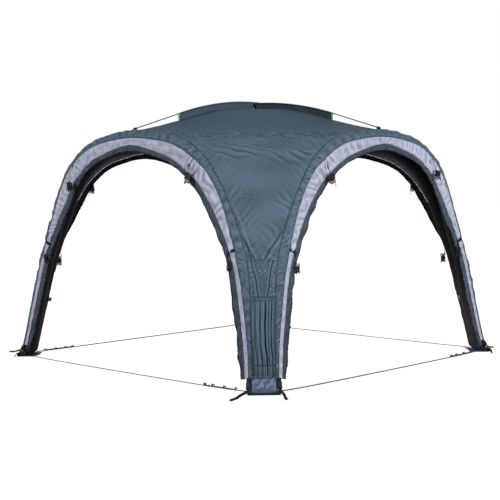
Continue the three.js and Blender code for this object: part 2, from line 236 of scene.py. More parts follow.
def unit(a):
    return a / np.maximum(np.linalg.norm(a, axis=-1, keepdims=True), 1e-12)


def beam_centre(v):
    return along(WHOLE_ARCH, v)


def at_beam(v, out_by, away_by):
    """Points beside the beam: out of the shelter, and away from the doorway."""
    v, out_by, away_by = np.broadcast_arrays(v, out_by, away_by)
    run = unit(beam_centre(v + 0.001) - beam_centre(v - 0.001))
    out = unit(OUT - run * run[..., 1:2])
    away = np.cross(run, out)
    return beam_centre(v) + out * out_by[..., None] + away * away_by[..., None]


def round_beam(v, degrees, radius):
    a = np.radians(degrees)
    return at_beam(v, radius * np.cos(a), radius * np.sin(a))


def seam_angle(v):
    return along(SEAM_ANGLE, np.abs(v))[..., 0]


def quarter_turns(x, y, z, count):
    for _ in range(count):
        x, y = -y, x
    return np.stack([x, y, z], -1)


def place(p, side):
    """Side coordinates (along, outward, height) to the shelter's, for side 0 to 3."""
    p = np.asarray(p, float)
    return quarter_turns(p[..., 0], -p[..., 1], p[..., 2], side)


def corner(across, outward, z, k):
    """Corner coordinates (across, outward from the middle, height) to the shelter's, for corner 0 to 3."""
    across, outward, z = np.broadcast_arrays(across, outward, z)
    return quarter_turns((outward + across) * DIAGONAL, (across - outward) * DIAGONAL, z, k)


# Length of beam from the crown, by share of the arch
SHARES = np.linspace(-1, 1, 801)
LENGTHS = np.r_[0, np.cumsum(np.linalg.norm(np.diff(beam_centre(SHARES), axis=0), axis=1))]
LENGTHS -= LENGTHS[400]


def reach(v):
    return np.interp(v, SHARES, LENGTHS)


def share_at(length):
    return np.interp(length, LENGTHS, SHARES)


def even_stations(first, last, step):
    """Shares of the arch at even steps of length."""
    a, b = reach(first), reach(last)
    return share_at(np.linspace(a, b, max(int(abs(b - a) / step), 2) + 1))


# Waves that folds are made from


def soft_step(a, b, x):
    t = np.clip((x - a) / (b - a), 0, 1)
    return t * t * (3 - 2 * t)


def hump(x, middle, width):
    return np.exp(-(((x - middle) / width) ** 2))


def drift(x, y, seed, length):
    """Slow irregular rise and fall, about -1 to 1, over both directions."""
    rng = np.random.default_rng(seed)
    total, count = 0, 7
    for _ in range(count):
        a, phase, size = rng.uniform(0, ROUND), rng.uniform(0, ROUND), rng.uniform(0.7, 1.6)
        total = total + np.sin((x * math.cos(a) + y * math.sin(a)) * ROUND / (length * size) + phase)
    return total / math.sqrt(count)


def creases(phase, sharp):
    """Sharp ridges with broad valleys between them, 0 to 1, one for each whole number of phase."""
    return 1 - np.abs(np.cos(np.pi * phase)) ** sharp


def pleats(phase, sharp=0.8):
    """Rounded folds with narrow valleys between them, 0 to 1, one for each whole number of phase."""
    return np.abs(np.sin(np.pi * phase)) ** sharp


def patches(x, y, seed, length, least=0.0):
    """Irregular patches, from least to 1, where folds are deep or shallow."""
    return least + (1 - least) * soft_step(-0.5, 0.9, drift(x, y, seed, length))


def blurred(height, rows, cols):
    """Each value's average with its neighbours, so many rows and columns away."""
    for axis, far in ((0, rows), (1, cols)):
        pad = [(far, far) if a == axis else (0, 0) for a in (0, 1)]
        wide = np.pad(height, pad, mode="edge")
        n = height.shape[axis]
        height = sum(np.take(wide, range(i, i + n), axis) for i in range(2 * far + 1)) / (2 * far + 1)
    return height


def limited(painted_shading):
    return np.clip(painted_shading, -1, 1)


def painted_fold_shading(height, rows, cols, depth, slope=0.0, step=1.0):
    """Painted light and shade of a folded sheet: up to 1, a painted highlight, on ridges and on the slopes that slope
    favours; down to -1, painted shade, in hollows.
    """
    stand = (height - blurred(height, rows, cols)) / depth
    return limited(stand + np.gradient(height, axis=0) / step * slope)


def painted_arch_shading(height, rows, cols, depth, step, v):
    """Painted light and shade of a sheet along the arch, with a painted highlight on the side of each fold that looks
    to the crown.
    """
    return painted_fold_shading(height, rows, cols, depth) + np.gradient(height, axis=0) / step * np.sign(v) * 0.9


# Colours and finishes


def node_sum(operation, turned=False):
    def work(self, other):
        pair = (other, self) if turned else (self, other)
        return self.paint.add("ShaderNodeMath", {"operation": operation}, dict(enumerate(pair)))

    return work


class Wire:
    """An output of a material's nodes that takes part in Python sums."""

    def __init__(self, paint, node, socket):
        self.paint, self.node, self.socket = paint, node, socket

    def out(self, name):
        return Wire(self.paint, self.node, self.node.outputs[name])

    __add__, __radd__ = node_sum("ADD"), node_sum("ADD", True)
    __sub__, __rsub__ = node_sum("SUBTRACT"), node_sum("SUBTRACT", True)
    __mul__, __rmul__ = node_sum("MULTIPLY"), node_sum("MULTIPLY", True)


class Paint:
    """A material's nodes, made from Python expressions."""

    def __init__(self, name):
        self.material = bpy.data.materials.new(name)
        self.material.use_nodes = True
        self.tree = self.material.node_tree
        self.surface = self.tree.nodes["Principled BSDF"]

    def add(self, kind, settings=None, sockets=None):
        node = self.tree.nodes.new(kind)
        for key, value in (settings or {}).items():
            setattr(node, key, value)
        for key, value in (sockets or {}).items():
            self.put(node.inputs[key], value)
        return Wire(self, node, node.outputs[0])

    def put(self, socket, value):
        if isinstance(value, Wire):
            self.tree.links.new(value.socket, socket)
        else:
            socket.default_value = value

    def place(self):
        return self.add("ShaderNodeTexCoord").out("Object")

    def layer(self, name):
        """The numbers of one of the piece's layers; "cloth" holds its lengths and widths in metres."""
        return self.add("ShaderNodeUVMap", {"uv_map": name})

    def split(self, where):
        return self.add("ShaderNodeSeparateXYZ", None, {0: where})

    def noise(self, where, scale, detail=3.0, rough=0.55):
        return self.add("ShaderNodeTexNoise", {"noise_dimensions": "3D"},
                        {"Vector": where, "Scale": scale, "Detail": detail, "Roughness": rough})

    def stretch(self, where, factors):
        return self.add("ShaderNodeVectorMath", {"operation": "MULTIPLY"}, {0: where, 1: factors})

    def mix(self, factor, a, b):
        node = self.add("ShaderNodeMix", {"data_type": "RGBA"}, {0: factor, 6: a, 7: b})
        return Wire(self, node.node, node.node.outputs[2])

    def sine(self, value):
        return self.add("ShaderNodeMath", {"operation": "SINE"}, {0: value})

    def size(self, value):
        return self.add("ShaderNodeMath", {"operation": "ABSOLUTE"}, {0: value})

    def limit(self, value, low, high):
        return self.add("ShaderNodeMapRange", {"clamp": True}, {"Value": value, 1: low, 2: high, 3: 0.0, 4: 1.0})

    def weave(self, where, thread):
        """Height of a plain weave whose threads are that far apart."""
        split, turn = self.split(where), math.pi / thread
        return self.size(self.sine(split.out("X") * turn)) * self.size(self.sine(split.out("Y") * turn))

    def bump(self, height, strength, distance, under=None):
        sockets = {"Height": height, "Strength": strength, "Distance": distance}
        if under is not None:
            sockets["Normal"] = under
        return self.add("ShaderNodeBump", None, sockets)

    def finish(self, colour, rough, normal=None, **plain):
        self.put(self.surface.inputs["Base Color"], colour)
        self.put(self.surface.inputs["Roughness"], rough)
        if normal is not None:
            self.put(self.surface.inputs["Normal"], normal)
        for name, value in plain.items():
            self.surface.inputs[name.replace("_", " ")].default_value = value
        return self.material


def shade(colour, factor):
    return tuple(min(c * factor, 1) for c in colour[:3]) + (1,)


def coated_cloth(name, colour, crumple=0.4, rough=0.5, dust=0.12, drawn=(), low=0.6, high=1.0, fold_shading_painted=True,
                 gloss_level=0.16):
    """Polyester with a thin coating: weave, crumples, uneven dye, dust near the ground, and painted shade near the
    ground and on the roof.

    low and high are the painted shade near the ground and on the roof: the cloth colour made darker there, where less
    light falls.
    drawn names the layers of fine creases: which crease a point is on, and its depth in centimetres, which also sets
    the painted shade in its valleys.
    Fold-shaded cloth reads its folds layer as painted light: above 0 a painted highlight on ridges, below 0 painted
    shade in the hollows between them.
    """
    p = Paint(name)
    where = p.place()
    cloud = p.noise(where, 2.2, 4)
    fleck = p.noise(where, 190, 2)
    small = p.noise(where, 24, 4)
    broad = p.noise(where, 8, 2, 0.5)
    height = p.split(where).out("Z")
    tone = p.mix(p.limit(cloud, 0.3, 0.7), shade(colour, 0.93), shade(colour, 1.07))
    tone = p.mix(p.limit(fleck, 0.35, 0.75) * 0.25, tone, shade(colour, 0.84))
    # Painted shade: the cloth darker towards the ground.
    tone = p.mix(1 - p.limit(height, 0.12, 1.15), tone, shade(colour, low))
    # Painted shade: the roof top darker.
    if high < 1:
        tone = p.mix(p.limit(height, 1.96, 2.12), tone, shade(colour, high))
    dusty = (1 - p.limit(height, 0.03, 0.4)) * p.limit(small, 0.4, 0.7) * dust
    tone = p.mix(dusty, tone, (0.20, 0.185, 0.16, 1))
    gloss = p.limit(small, 0.25, 0.75) * 0.14 + (rough - 0.07)
    folds = p.size(small - 0.5) * crumple + p.size(broad - 0.5) * (crumple * 1.5)
    for layer in drawn:
        split = p.split(p.layer(layer))
        ridge, depth = p.size(p.sine(split.out("X") * math.pi)), split.out("Y")
        folds = folds + ridge * depth
        # Painted shade in the valleys of the fine creases.
        tone = p.mix(p.limit((1 - ridge * 1.5) * depth, 0.0, 0.8) * 0.75, tone, shade(colour, 0.45))
    # Painted highlight on fold ridges and on slopes that face the light, painted shade in fold hollows.
    if fold_shading_painted:
        fold_shading_mark = p.split(p.layer("folds")).out("X")
        tone = p.mix(p.limit(fold_shading_mark, 0.0, 1.0) * 0.55, tone, shade(colour, 1.6))
        tone = p.mix(p.limit(0 - fold_shading_mark, 0.0, 1.0) * 0.80, tone, shade(colour, 0.42))
    cloth = p.bump(p.weave(p.layer("cloth"), 0.0009), 0.2, 0.0004, p.bump(folds, 1.0, 0.01))
    return p.finish(tone, gloss, cloth, Specular_IOR_Level=gloss_level)


def tube_film(name):
    """Black welded film over the inflated beam, taut and softly shiny."""
    p = Paint(name)
    where = p.place()
    cloud = p.noise(where, 7, 4)
    scuff = p.noise(p.stretch(where, (60, 60, 8)), 1.0, 5, 0.65)
    uneven = p.limit(cloud, 0.3, 0.7)
    tone = p.mix(uneven, (0.016, 0.0155, 0.018, 1), (0.026, 0.025, 0.03, 1))
    tone = p.mix(p.limit(scuff, 0.62, 0.8) * 0.35, tone, (0.07, 0.068, 0.075, 1))
    return p.finish(tone, uneven * 0.1 + 0.33, p.bump(cloud, 0.12, 0.003))


def moulded(name, colour, rough=0.38, grain=0.12):
    """Moulded plastic with a fine spark finish."""
    p = Paint(name)
    where = p.place()
    uneven = p.limit(p.noise(where, 40), 0.3, 0.7)
    tone = p.mix(uneven, shade(colour, 0.9), shade(colour, 1.12))
    return p.finish(tone, uneven * 0.1 + rough, p.bump(p.noise(where, 900, 2), grain, 0.0003))


def webbing_cloth(name, colour):
    """Woven tape: ribs across it and a chevron of threads."""
    p = Paint(name)
    split = p.split(p.layer("cloth"))
    ribs = p.size(p.sine(split.out("X") * (math.pi / 0.0016)))
    chevron = p.size(p.sine((p.size(split.out("Y")) + split.out("X")) * (math.pi / 0.0022)))
    tone = p.mix(chevron * 0.5, shade(colour, 0.7), shade(colour, 1.5))
    tone = p.mix(p.limit(p.noise(p.place(), 60), 0.45, 0.8) * 0.3, tone, shade(colour, 1.6))
    return p.finish(tone, 0.62, p.bump(ribs * 0.6 + chevron * 0.4, 0.5, 0.0005), Specular_IOR_Level=0.2)


def braid(name, colour, fleck, share=0.5):
    """Braided cord with a pale tracer thread that winds round it."""
    p = Paint(name)
    split = p.split(p.layer("cloth"))
    turn, run = split.out("Y") * (2 * math.pi / 0.011), split.out("X") * (2 * math.pi / 0.016)
    strands = p.sine(turn + run) * p.sine(turn - run)
    tone = p.mix(p.limit(p.noise(p.place(), 90), 0.3, 0.7), shade(colour, 0.8), shade(colour, 1.25))
    tone = p.mix(p.limit(strands, 1 - share, 1.0), tone, shade(fleck, 1))
    return p.finish(tone, 0.6, p.bump(strands, 0.4, 0.0005))


TEAL = (0.087, 0.136, 0.186)
PALE = (0.44, 0.46, 0.575)
# The band colour: the canopy teal darkened as painted shade.
TEAL_IN_SHADE = (0.048, 0.073, 0.095)
LINING = (0.100, 0.108, 0.116)
# Painted shade: low darkens each cloth towards the ground and high darkens the canopy's roof top; fold layers paint
# highlight and shade.
canopy_cloth = coated_cloth("canopy cloth", TEAL, 1.0, drawn=("drawn_in", "crossing"), high=0.72)
leg_cloth = coated_cloth("leg panel cloth", shade(TEAL, 0.99), 1.0, low=0.05)
cover_cloth = coated_cloth("beam cover cloth", shade(TEAL, 0.98), 1.0, low=0.45)
pale_cloth = coated_cloth("light strip cloth", PALE, 0.9, 0.6, 0.1, low=0.9)
band_cloth = coated_cloth("dark band cloth", shade(TEAL_IN_SHADE, 1.1), 1.0, 0.45)
lining_cloth = coated_cloth("canopy lining", LINING, 0.8, 0.55, 0.05, fold_shading_painted=False)
# The band's inner side: the canopy teal darkened as painted shade as well.
dark_lining = coated_cloth("dark band lining", (0.055, 0.080, 0.098), 0.8, 0.55, 0.05, fold_shading_painted=False)
seam_cloth = coated_cloth("seam tape", (0.034, 0.050, 0.066), 0.2, 0.6, 0.05, fold_shading_painted=False)
fin_cloth = coated_cloth("pole sleeve cloth", shade(TEAL, 0.55), 0.25, fold_shading_painted=False)
dark_fin_cloth = coated_cloth("dark pole sleeve cloth", (0.022, 0.035, 0.048), 0.3, fold_shading_painted=False)
sleeve_cloth = coated_cloth("beam sleeve cloth", (0.044, 0.041, 0.043), 0.5, 0.45, 0.05, low=1.0, gloss_level=0.35)
pouch_sheet = coated_cloth("foot pouch sheet", (0.100, 0.148, 0.24), 0.3, 0.45, 0.1, low=0.85, gloss_level=0.25)
film = tube_film("beam film")
binding_tape = webbing_cloth("black edge tape", (0.012, 0.012, 0.014))
webbing = webbing_cloth("black webbing", (0.011, 0.011, 0.013))
green_tape = webbing_cloth("green edge tape", (0.13, 0.62, 0.05))
orange_tape = webbing_cloth("orange loop tape", (0.80, 0.20, 0.03))
clip_plastic = moulded("black clip plastic", (0.013, 0.013, 0.015))
valve_plastic = moulded("blue valve plastic", (0.17, 0.33, 0.47), 0.35)
valve_dark = moulded("dark valve plastic", (0.06, 0.11, 0.16), 0.45)
pole_finish = moulded("black pole", (0.022, 0.021, 0.021), 0.28, 0.05)
guy_braid = braid("guy line braid", (0.009, 0.009, 0.010), (0.20, 0.19, 0.17), 0.14)
dark_braid = braid("dark ground cord", (0.010, 0.010, 0.011), (0.05, 0.05, 0.05))
pale_braid = braid("pale ground cord", (0.035, 0.034, 0.032), (0.10, 0.10, 0.09))


# Ways of making a mesh


def new_piece(name, points, faces, material, layers=None, lining=None, lined=()):
    """A mesh object. layers holds a pair of numbers for each point, by layer name; lined faces take the lining."""
    mesh = bpy.data.meshes.new(name)
    mesh.from_pydata(np.asarray(points, float).tolist(), [], [list(map(int, f)) for f in faces])
    mesh.update()
    for label, values in (layers or {}).items():
        layer = mesh.uv_layers.new(name=label)
        corners = np.empty(len(mesh.loops), dtype=np.int32)
        mesh.loops.foreach_get("vertex_index", corners)
        layer.data.foreach_set("uv", np.asarray(values, np.float32)[corners].ravel())
    mesh.polygons.foreach_set("use_smooth", [True] * len(mesh.polygons))
    mesh.materials.append(material)
    if lining is not None:
        mesh.materials.append(lining)
        mesh.polygons.foreach_set("material_index", np.asarray(lined, np.int32))
    piece = bpy.data.objects.new(name, mesh)
    bpy.context.scene.collection.objects.link(piece)
    return piece


def normals_of(points, faces):
    """Average direction of the faces round each point."""
    faces = np.asarray(faces)
    first = np.cross(points[faces[:, 1]] - points[faces[:, 0]], points[faces[:, 2]] - points[faces[:, 0]])
    total = np.zeros_like(points)
    corners = [(0, first), (1, first), (2, first)]
    if faces.shape[1] == 4:
        second = np.cross(points[faces[:, 2]] - points[faces[:, 0]], points[faces[:, 3]] - points[faces[:, 0]])
        corners = [(j, first + second) for j in range(4)]
    for j, n in corners:
        np.add.at(total, faces[:, j], n)
    return unit(total)


def two_sided(points, faces, thickness):
    """Closes a sheet round its middle surface."""
    faces = np.asarray(faces)
    n = len(points)
    normal = normals_of(points, faces)
    both = np.vstack([points + normal * thickness / 2, points - normal * thickness / 2])
    edges = {}
    for j in range(faces.shape[1]):
        for a, b in zip(faces[:, j], faces[:, (j + 1) % faces.shape[1]]):
            if edges.pop((b, a), None) is None:
                edges[(a, b)] = True
    walls = [(b, a, a + n, b + n) for a, b in edges]
    return both, [*faces.tolist(), *(faces[:, ::-1] + n).tolist(), *walls]


def grid_faces(rows, cols, wrap=False):
    i, j = np.meshgrid(np.arange(rows - 1), np.arange(cols if wrap else cols - 1), indexing="ij")
    a = (i * cols + j).ravel()
    b = (i * cols + (j + 1) % cols).ravel()
    return np.stack([a, b, b + cols, a + cols], -1)


def grid_lengths(grid):
    """Length along and width across each point of a grid, in metres, for the weave."""
    down = np.linalg.norm(np.diff(grid, axis=0), axis=2)
    across = np.linalg.norm(np.diff(grid, axis=1), axis=2)
    u = np.vstack([np.zeros((1, grid.shape[1])), np.cumsum(down, axis=0)])
    v = np.hstack([np.zeros((grid.shape[0], 1)), np.cumsum(across, axis=1)])
    return np.stack([u, v], -1).reshape(-1, 2)


def sheet_piece(name, points, faces, material, thickness, layers, toward=None, lining=None):
    """A closed sheet round its middle surface. toward is the way that its outer side looks."""
    faces = np.asarray(faces)
    if toward is not None and np.sum(normals_of(points, faces) * toward) < 0:
        faces = faces[:, ::-1]
    both, shell = two_sided(points, faces, thickness)
    lined = np.zeros(len(shell))
    lined[len(faces) : 2 * len(faces)] = 1
    layers = {label: np.vstack([values, values]) for label, values in layers.items()}
    return new_piece(name, both, shell, material, layers, lining, lined)


def cloth_piece(name, grid, material, thickness=CLOTH, turned=False, wrap=False, toward=None, lining=None, painted_shading=None):
    """A sheet from a grid of points on its middle surface. turned swaps its two sides."""
    faces = grid_faces(*grid.shape[:2], wrap)
    if turned:
        faces = faces[:, ::-1]
    layers = {"cloth": grid_lengths(grid)}
    # The folds layer carries the painted highlight and shade of the sheet's folds.
    if painted_shading is not None:
        layers["folds"] = np.stack([painted_shading, 0 * painted_shading], -1).reshape(-1, 2)
    return sheet_piece(name, grid.reshape(-1, 3), faces, material, thickness, layers, toward, lining)


def cloth_area(grid):
    """Area of a grid's middle surface, in square metres."""
    a = np.cross(grid[1:, :-1] - grid[:-1, :-1], grid[1:, 1:] - grid[:-1, :-1])
    b = np.cross(grid[1:, 1:] - grid[:-1, :-1], grid[:-1, 1:] - grid[:-1, :-1])
    return float((np.linalg.norm(a, axis=-1) + np.linalg.norm(b, axis=-1)).sum() / 2)


def rings_piece(name, rings, material):
    """A closed body through a row of rings, with a point in the middle of each end."""
    rings = np.asarray(rings)
    n, m = rings.shape[:2]
    points = np.vstack([rings.reshape(-1, 3), rings[0].mean(0), rings[-1].mean(0)])
    faces = grid_faces(n, m, True).tolist()
    last = (n - 1) * m
    for j in range(m):
        k = (j + 1) % m
        faces.append((n * m, k, j))
        faces.append((n * m + 1, last + j, last + k))
    lengths = grid_lengths(rings)
    lengths = np.vstack([lengths, lengths[:1], lengths[-1:]])
    volume = 0.0
    for f in faces:
        for q in range(1, len(f) - 1):
            volume += float(np.dot(points[f[0]], np.cross(points[f[q]], points[f[q + 1]])))
    if volume < 0:
        faces = [f[::-1] for f in faces]
    return new_piece(name, points, faces, material, {"cloth": lengths})


def path_frames(path):
    """Two directions across a path that turn with it as little as they can."""
    path = np.asarray(path, float)
    run = unit(np.gradient(path, axis=0))
    side = np.empty_like(path)
    first = np.cross(run[0], UP)
    if np.linalg.norm(first) < 1e-3:
        first = np.cross(run[0], (1.0, 0.2, 0))
    side[0] = unit(first)
    for i in range(1, len(path)):
        s = side[i - 1] - run[i] * np.dot(side[i - 1], run[i])
        side[i] = unit(s)
    return side, np.cross(side, run)


def cord_piece(name, path, radius, material, sides=8):
    """Round cord along a path; radius may change along it."""
    path = np.asarray(path, float)
    side, over = path_frames(path)
    radius = np.broadcast_to(radius, len(path))[:, None, None]
    a = np.arange(sides) / sides * 2 * math.pi
    rings = path[:, None] + radius * (
        side[:, None] * np.cos(a)[None, :, None] + over[:, None] * np.sin(a)[None, :, None]
    )
    return rings_piece(name, rings, material)


def tape_piece(name, path, wide_way, width, thickness, material, cols=5):
    """Flat tape along a path; wide_way is the direction across it at each point."""
    path = np.asarray(path, float)
    run = unit(np.gradient(path, axis=0))
    wide = unit(np.broadcast_to(np.asarray(wide_way, float), path.shape))
    wide = unit(wide - run * np.sum(wide * run, -1, keepdims=True))
    grid = path[:, None] + wide[:, None] * (np.linspace(-0.5, 0.5, cols)[None, :, None] * width)
    return cloth_piece(name, grid, material, thickness)


def smooth_path(knots, step=0.004):
    """Catmull-Rom curve through the knots, at even steps."""
    k = np.asarray(knots, float)
    k = np.vstack([2 * k[0] - k[1], k, 2 * k[-1] - k[-2]])
    out = []
    t = np.linspace(0, 1, 24, endpoint=False)[:, None]
    for i in range(1, len(k) - 2):
        a, b, c, d = k[i - 1], k[i], k[i + 1], k[i + 2]
        out.append(0.5 * (2 * b + (c - a) * t + (2 * a - 5 * b + 4 * c - d) * t**2 + (3 * b - a - 3 * c + d) * t**3))
    fine = np.vstack([*out, k[-2:-1]])
    far = np.r_[0, np.cumsum(np.linalg.norm(np.diff(fine, axis=0), axis=1))]
    even = np.linspace(0, far[-1], max(int(far[-1] / step), 4) + 1)
    return np.stack([np.interp(even, far, fine[:, i]) for i in range(3)], -1)


def path_length(path):
    return float(np.linalg.norm(np.diff(np.asarray(path), axis=0), axis=1).sum())


def join(name, pieces):
    """Several pieces made one, each with its own material."""
    bpy.ops.object.select_all(action="DESELECT")
    for piece in pieces:
        piece.select_set(True)
    bpy.context.view_layer.objects.active = pieces[0]
    bpy.ops.object.join()
    pieces[0].name = name
    pieces[0].data.name = name
    return pieces[0]


def keep(piece, slot, *nodes):
    """The piece rides on the shelter, takes the slot's finish and stands for the nodes."""
    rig.ride(piece, "root")
    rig.slot(piece, slot)
    if nodes:
        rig.replaces(piece, *nodes)
    return piece


# The camera, from the feet, crowns and pole ends of the photograph


def set_camera():
    data = bpy.data.cameras.new("camera")
    camera = bpy.data.objects.new("camera", data)
    bpy.context.scene.collection.objects.link(camera)
    yaw, pitch, roll = (math.radians(a) for a in (1.59 - 45, -3.12, -0.36))
    ahead = Vector((math.sin(yaw) * math.cos(pitch), math.cos(yaw) * math.cos(pitch), math.sin(pitch)))
    right = Vector((math.cos(yaw), -math.sin(yaw), 0))
    over = right.cross(ahead)
    turned = right * math.cos(roll) + over * math.sin(roll)
    over = over * math.cos(roll) - right * math.sin(roll)
    rows = Matrix((turned, over, -ahead)).transposed().to_4x4()
    camera.matrix_world = Matrix.Translation((7.1637, -7.6290, 1.547)) @ rows
    data.sensor_width = 36
    data.lens = 36 * 1104.7 / 500
    data.clip_end = 200
    bpy.context.scene.camera = camera


set_camera()


# Ground cords, each with an adjuster near one end


def ground_cord_path(side):
    """Straight from foot to foot, bent a little outward, its ends lifted to the base straps."""
    u = np.linspace(-1, 1, 81)
    bow, lift = 0.012 * (1 - u * u), 0.005 * np.abs(u) ** 8
    return place(np.stack([u * 1.387, 1.580 + bow - 0.012 * np.abs(u) ** 30, 0.0046 + lift], -1), side)


def ground_cord(side):
    path = ground_cord_path(side)
    name = f"ground_cord_{side + 1}"
    finish = dark_braid if side % 2 else pale_braid
    radius = 0.0045 if side % 2 else 0.0034
    cord = cord_piece(name, path, radius, finish, 8)
    keep(cord, "cord", name)
    parts = []
    start, stop = path[-4], path[-14]
    across, run = unit(np.cross(stop - start, UP)), unit(stop - start)
    t = np.linspace(0, 1, 90)[:, None]
    for phase in (0, math.pi):
        wind = across * np.sin(t * 34 + phase) * 0.0042 + UP * (np.cos(t * 34 + phase) * 0.0042 + 0.0035)
        parts.append(cord_piece("doubled", start + (stop - start) * t + wind, 0.0036, dark_braid, 6))
    for share in (0.0, 0.36, 0.72, 0.98):
        middle = start + (stop - start) * share + UP * 0.0115
        a = np.linspace(0, 2.6 * math.pi, 40)[:, None]
        knot = middle + (across * np.cos(a) + UP * np.sin(a)) * 0.0066 + run * (a - 4) * 0.0030
        parts.append(cord_piece("knot", knot, 0.0045, dark_braid, 6))
    adjuster = join(f"cord_adjuster_{side + 1}", parts)
    keep(adjuster, "cord")
    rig.cord(cord, exit=path[0], length=round(path_length(path), 3), diameter=2 * radius, far_end="object",
            stiffness="limp", lay="taut", path=path, with_pieces=[adjuster])


for side in range(4):
    ground_cord(side)


# Canopy skin: the roof between the poles, and the upper legs down to the waist seam


def leg_point(v, c, k, extra=0.0):
    """Point of the skin between two beams; c runs from one beam's seam to the other's."""
    v, c, extra = np.broadcast_arrays(v, c, extra)
    a = round_beam(v, seam_angle(v), COVER_R)
    half = (a[..., 1] - a[..., 0]) * DIAGONAL
    outward = (a[..., 0] + a[..., 1]) * DIAGONAL
    low = round_beam(v + 0.01, seam_angle(v + 0.01), COVER_R)
    high = round_beam(v - 0.01, seam_angle(v - 0.01), COVER_R)
    run = (low[..., 0] + low[..., 1] - high[..., 0] - high[..., 1]) * DIAGONAL
    fall = high[..., 2] - low[..., 2]
    size = np.hypot(run, fall)
    off = along(SWELL, v)[..., 0] * (1 - c**4) + extra
    return corner(c * (half - SEAM_GAP), outward + fall / size * off, a[..., 2] + run / size * off, k)


def half_width(v):
    a = round_beam(v, seam_angle(v), COVER_R)
    return (a[..., 1] - a[..., 0]) * DIAGONAL


WAIST_CREASES = [
    (0.55, 0.11, 3.9, 0.013, 0.10), (0.82, 0.20, 2.0, 0.008, 0.06), (0.30, 0.035, 5.0, 0.009, 0.04),
    (-0.83, 0.13, -1.1, 0.014, 0.10), (-0.60, 0.05, -2.0, 0.009, 0.05), (-0.93, 0.32, -0.6, 0.008, 0.09),
]


def waist_creases(v, c):
    """Deep slanting creases between the beams, just above the waist seam."""
    high = reach(WAIST) - reach(v)
    total = 0
    for at_c, at_high, slope, depth, length in WAIST_CREASES:
        line = (c - at_c - slope * (high - at_high)) / math.sqrt(1 + (0.35 * slope) ** 2)
        total = total + depth * (hump(line, 0.09, 0.09) * 0.6 - hump(line, 0, 0.045)) * hump(high, at_high, length)
    return total


def upper_folds(v, c, k):
    """Broad folds of the skin between two beams, by how far they stand off it."""
    down, half = reach(v), half_width(v)
    from_seam, x = (1 - np.abs(c)) * half, c * half
    seed = 11 * k + 3
    bend = 0.35 * drift(x, down, seed, 0.5) + 0.15 * drift(x, down, seed + 10, 0.12)
    fan = pleats((down + 0.85 * from_seam) / 0.062 + bend + 0.6 * np.sign(c), 0.8)
    fan = fan * np.exp(-from_seam / 0.10) * patches(x, down, seed + 1, 0.16, 0.25)
    fan = fan * soft_step(0.20, 0.28, v) * (1 - 0.5 * hump(v, 0.37, 0.05))
    upright = pleats((x + 0.7 * (down - 0.3) * np.sign(c)) / 0.055 + bend, 0.8)
    upright = upright * np.exp(-from_seam / 0.22) * hump(v, 0.150, 0.055) * patches(x, down, seed + 2, 0.18, 0.25)
    cross = pleats((down - 0.30 * x) / 0.050 + bend, 0.8)
    cross = cross * hump(v, 0.150, 0.050) * patches(x, down, seed + 4, 0.16, 0.15)
    back = pleats((down + 0.24 * x) / 0.058 + bend, 0.8)
    back = back * hump(v, 0.190, 0.060) * patches(x, down, seed + 6, 0.18, 0.0)
    crumple = drift(x, down * 1.3, seed + 5, 0.070) * hump(v, 0.170, 0.035)
    slant = pleats((down - 0.52 * x) / 0.088 + 0.6 * bend, 0.9)
    slant = slant * hump(v, 0.285, 0.060) * patches(x, down * 2, seed + 8, 0.40, 0.1)
    slack = 0.010 * drift(x, down, seed + 9, 0.30) * soft_step(0.1, 0.3, v)
    total = 0.0110 * fan + 0.0120 * upright + 0.0100 * cross + 0.0070 * back + 0.0040 * crumple + 0.0130 * slant
    return (total + slack + waist_creases(v, c)) * (1 - np.abs(c) ** 12)


def fine_creases(v, c, k):
    """Which drawn-in crease and which crossing crease a point is on, each with its depth in centimetres; the depth also
    sets the painted shade in the crease's valleys.
    """
    down, half = reach(v), half_width(v)
    from_seam, x = (1 - np.abs(c)) * half, c * half
    seed = 11 * k + 60
    bend = 0.4 * drift(x, down, seed, 0.4) + 0.2 * drift(x, down, seed + 8, 0.11)
    upright = (x + 0.7 * down * np.sign(c)) / 0.036 + bend
    sloping = (down + 0.9 * from_seam) / 0.038 + bend
    high = 1 - soft_step(0.20, 0.26, v)
    first = upright * high + sloping * (1 - high)
    deep = 0.95 * np.exp(-from_seam / 0.20) * hump(v, 0.155, 0.050) * patches(x, down, seed + 1, 0.16, 0.2)
    deep = deep + 0.75 * np.exp(-from_seam / 0.060) * soft_step(0.26, 0.34, v) * patches(x, down, seed + 2, 0.14, 0.25)
    second = (down - 0.22 * x) / 0.030 + 0.35 * drift(x, down, seed + 3, 0.4) + 0.2 * drift(x, down, seed + 9, 0.10)
    over = 0.95 * hump(v, 0.155, 0.042) * patches(x, down, seed + 4, 0.12, 0.15)
    over = over + 0.55 * hump(v, 0.445, 0.035) * hump(c, 0.0, 0.55) * patches(x, down, seed + 5, 0.3, 0.4)
    over = over + 0.40 * hump(v, 0.29, 0.08) * patches(x, down, seed + 6, 0.2, 0.1)
    over = over + 0.50 * soft_step(0.53, 0.62, v) * patches(x, down, seed + 7, 0.10)
    return np.stack([first, deep], -1), np.stack([second, over], -1)


def painted_upper_shading(v, c, k):
    """Painted highlight on the ridges of the upper folds and on their sides that face up, painted shade in their
    hollows.
    """
    near = 0.022
    half = half_width(v)
    height = upper_folds(v, c, k)
    lower = share_at(reach(v) + near)
    higher = share_at(reach(v) - near)
    below, over = upper_folds(lower, c, k), upper_folds(higher, c, k)
    left, right = (upper_folds(v, np.clip(c + s * near / half, -1, 1), k) for s in (-1, 1))
    stand = (height - (below + over + left + right) / 4) / 0.0040
    return limited(stand + (below - over) / (2 * near) * 1.4)


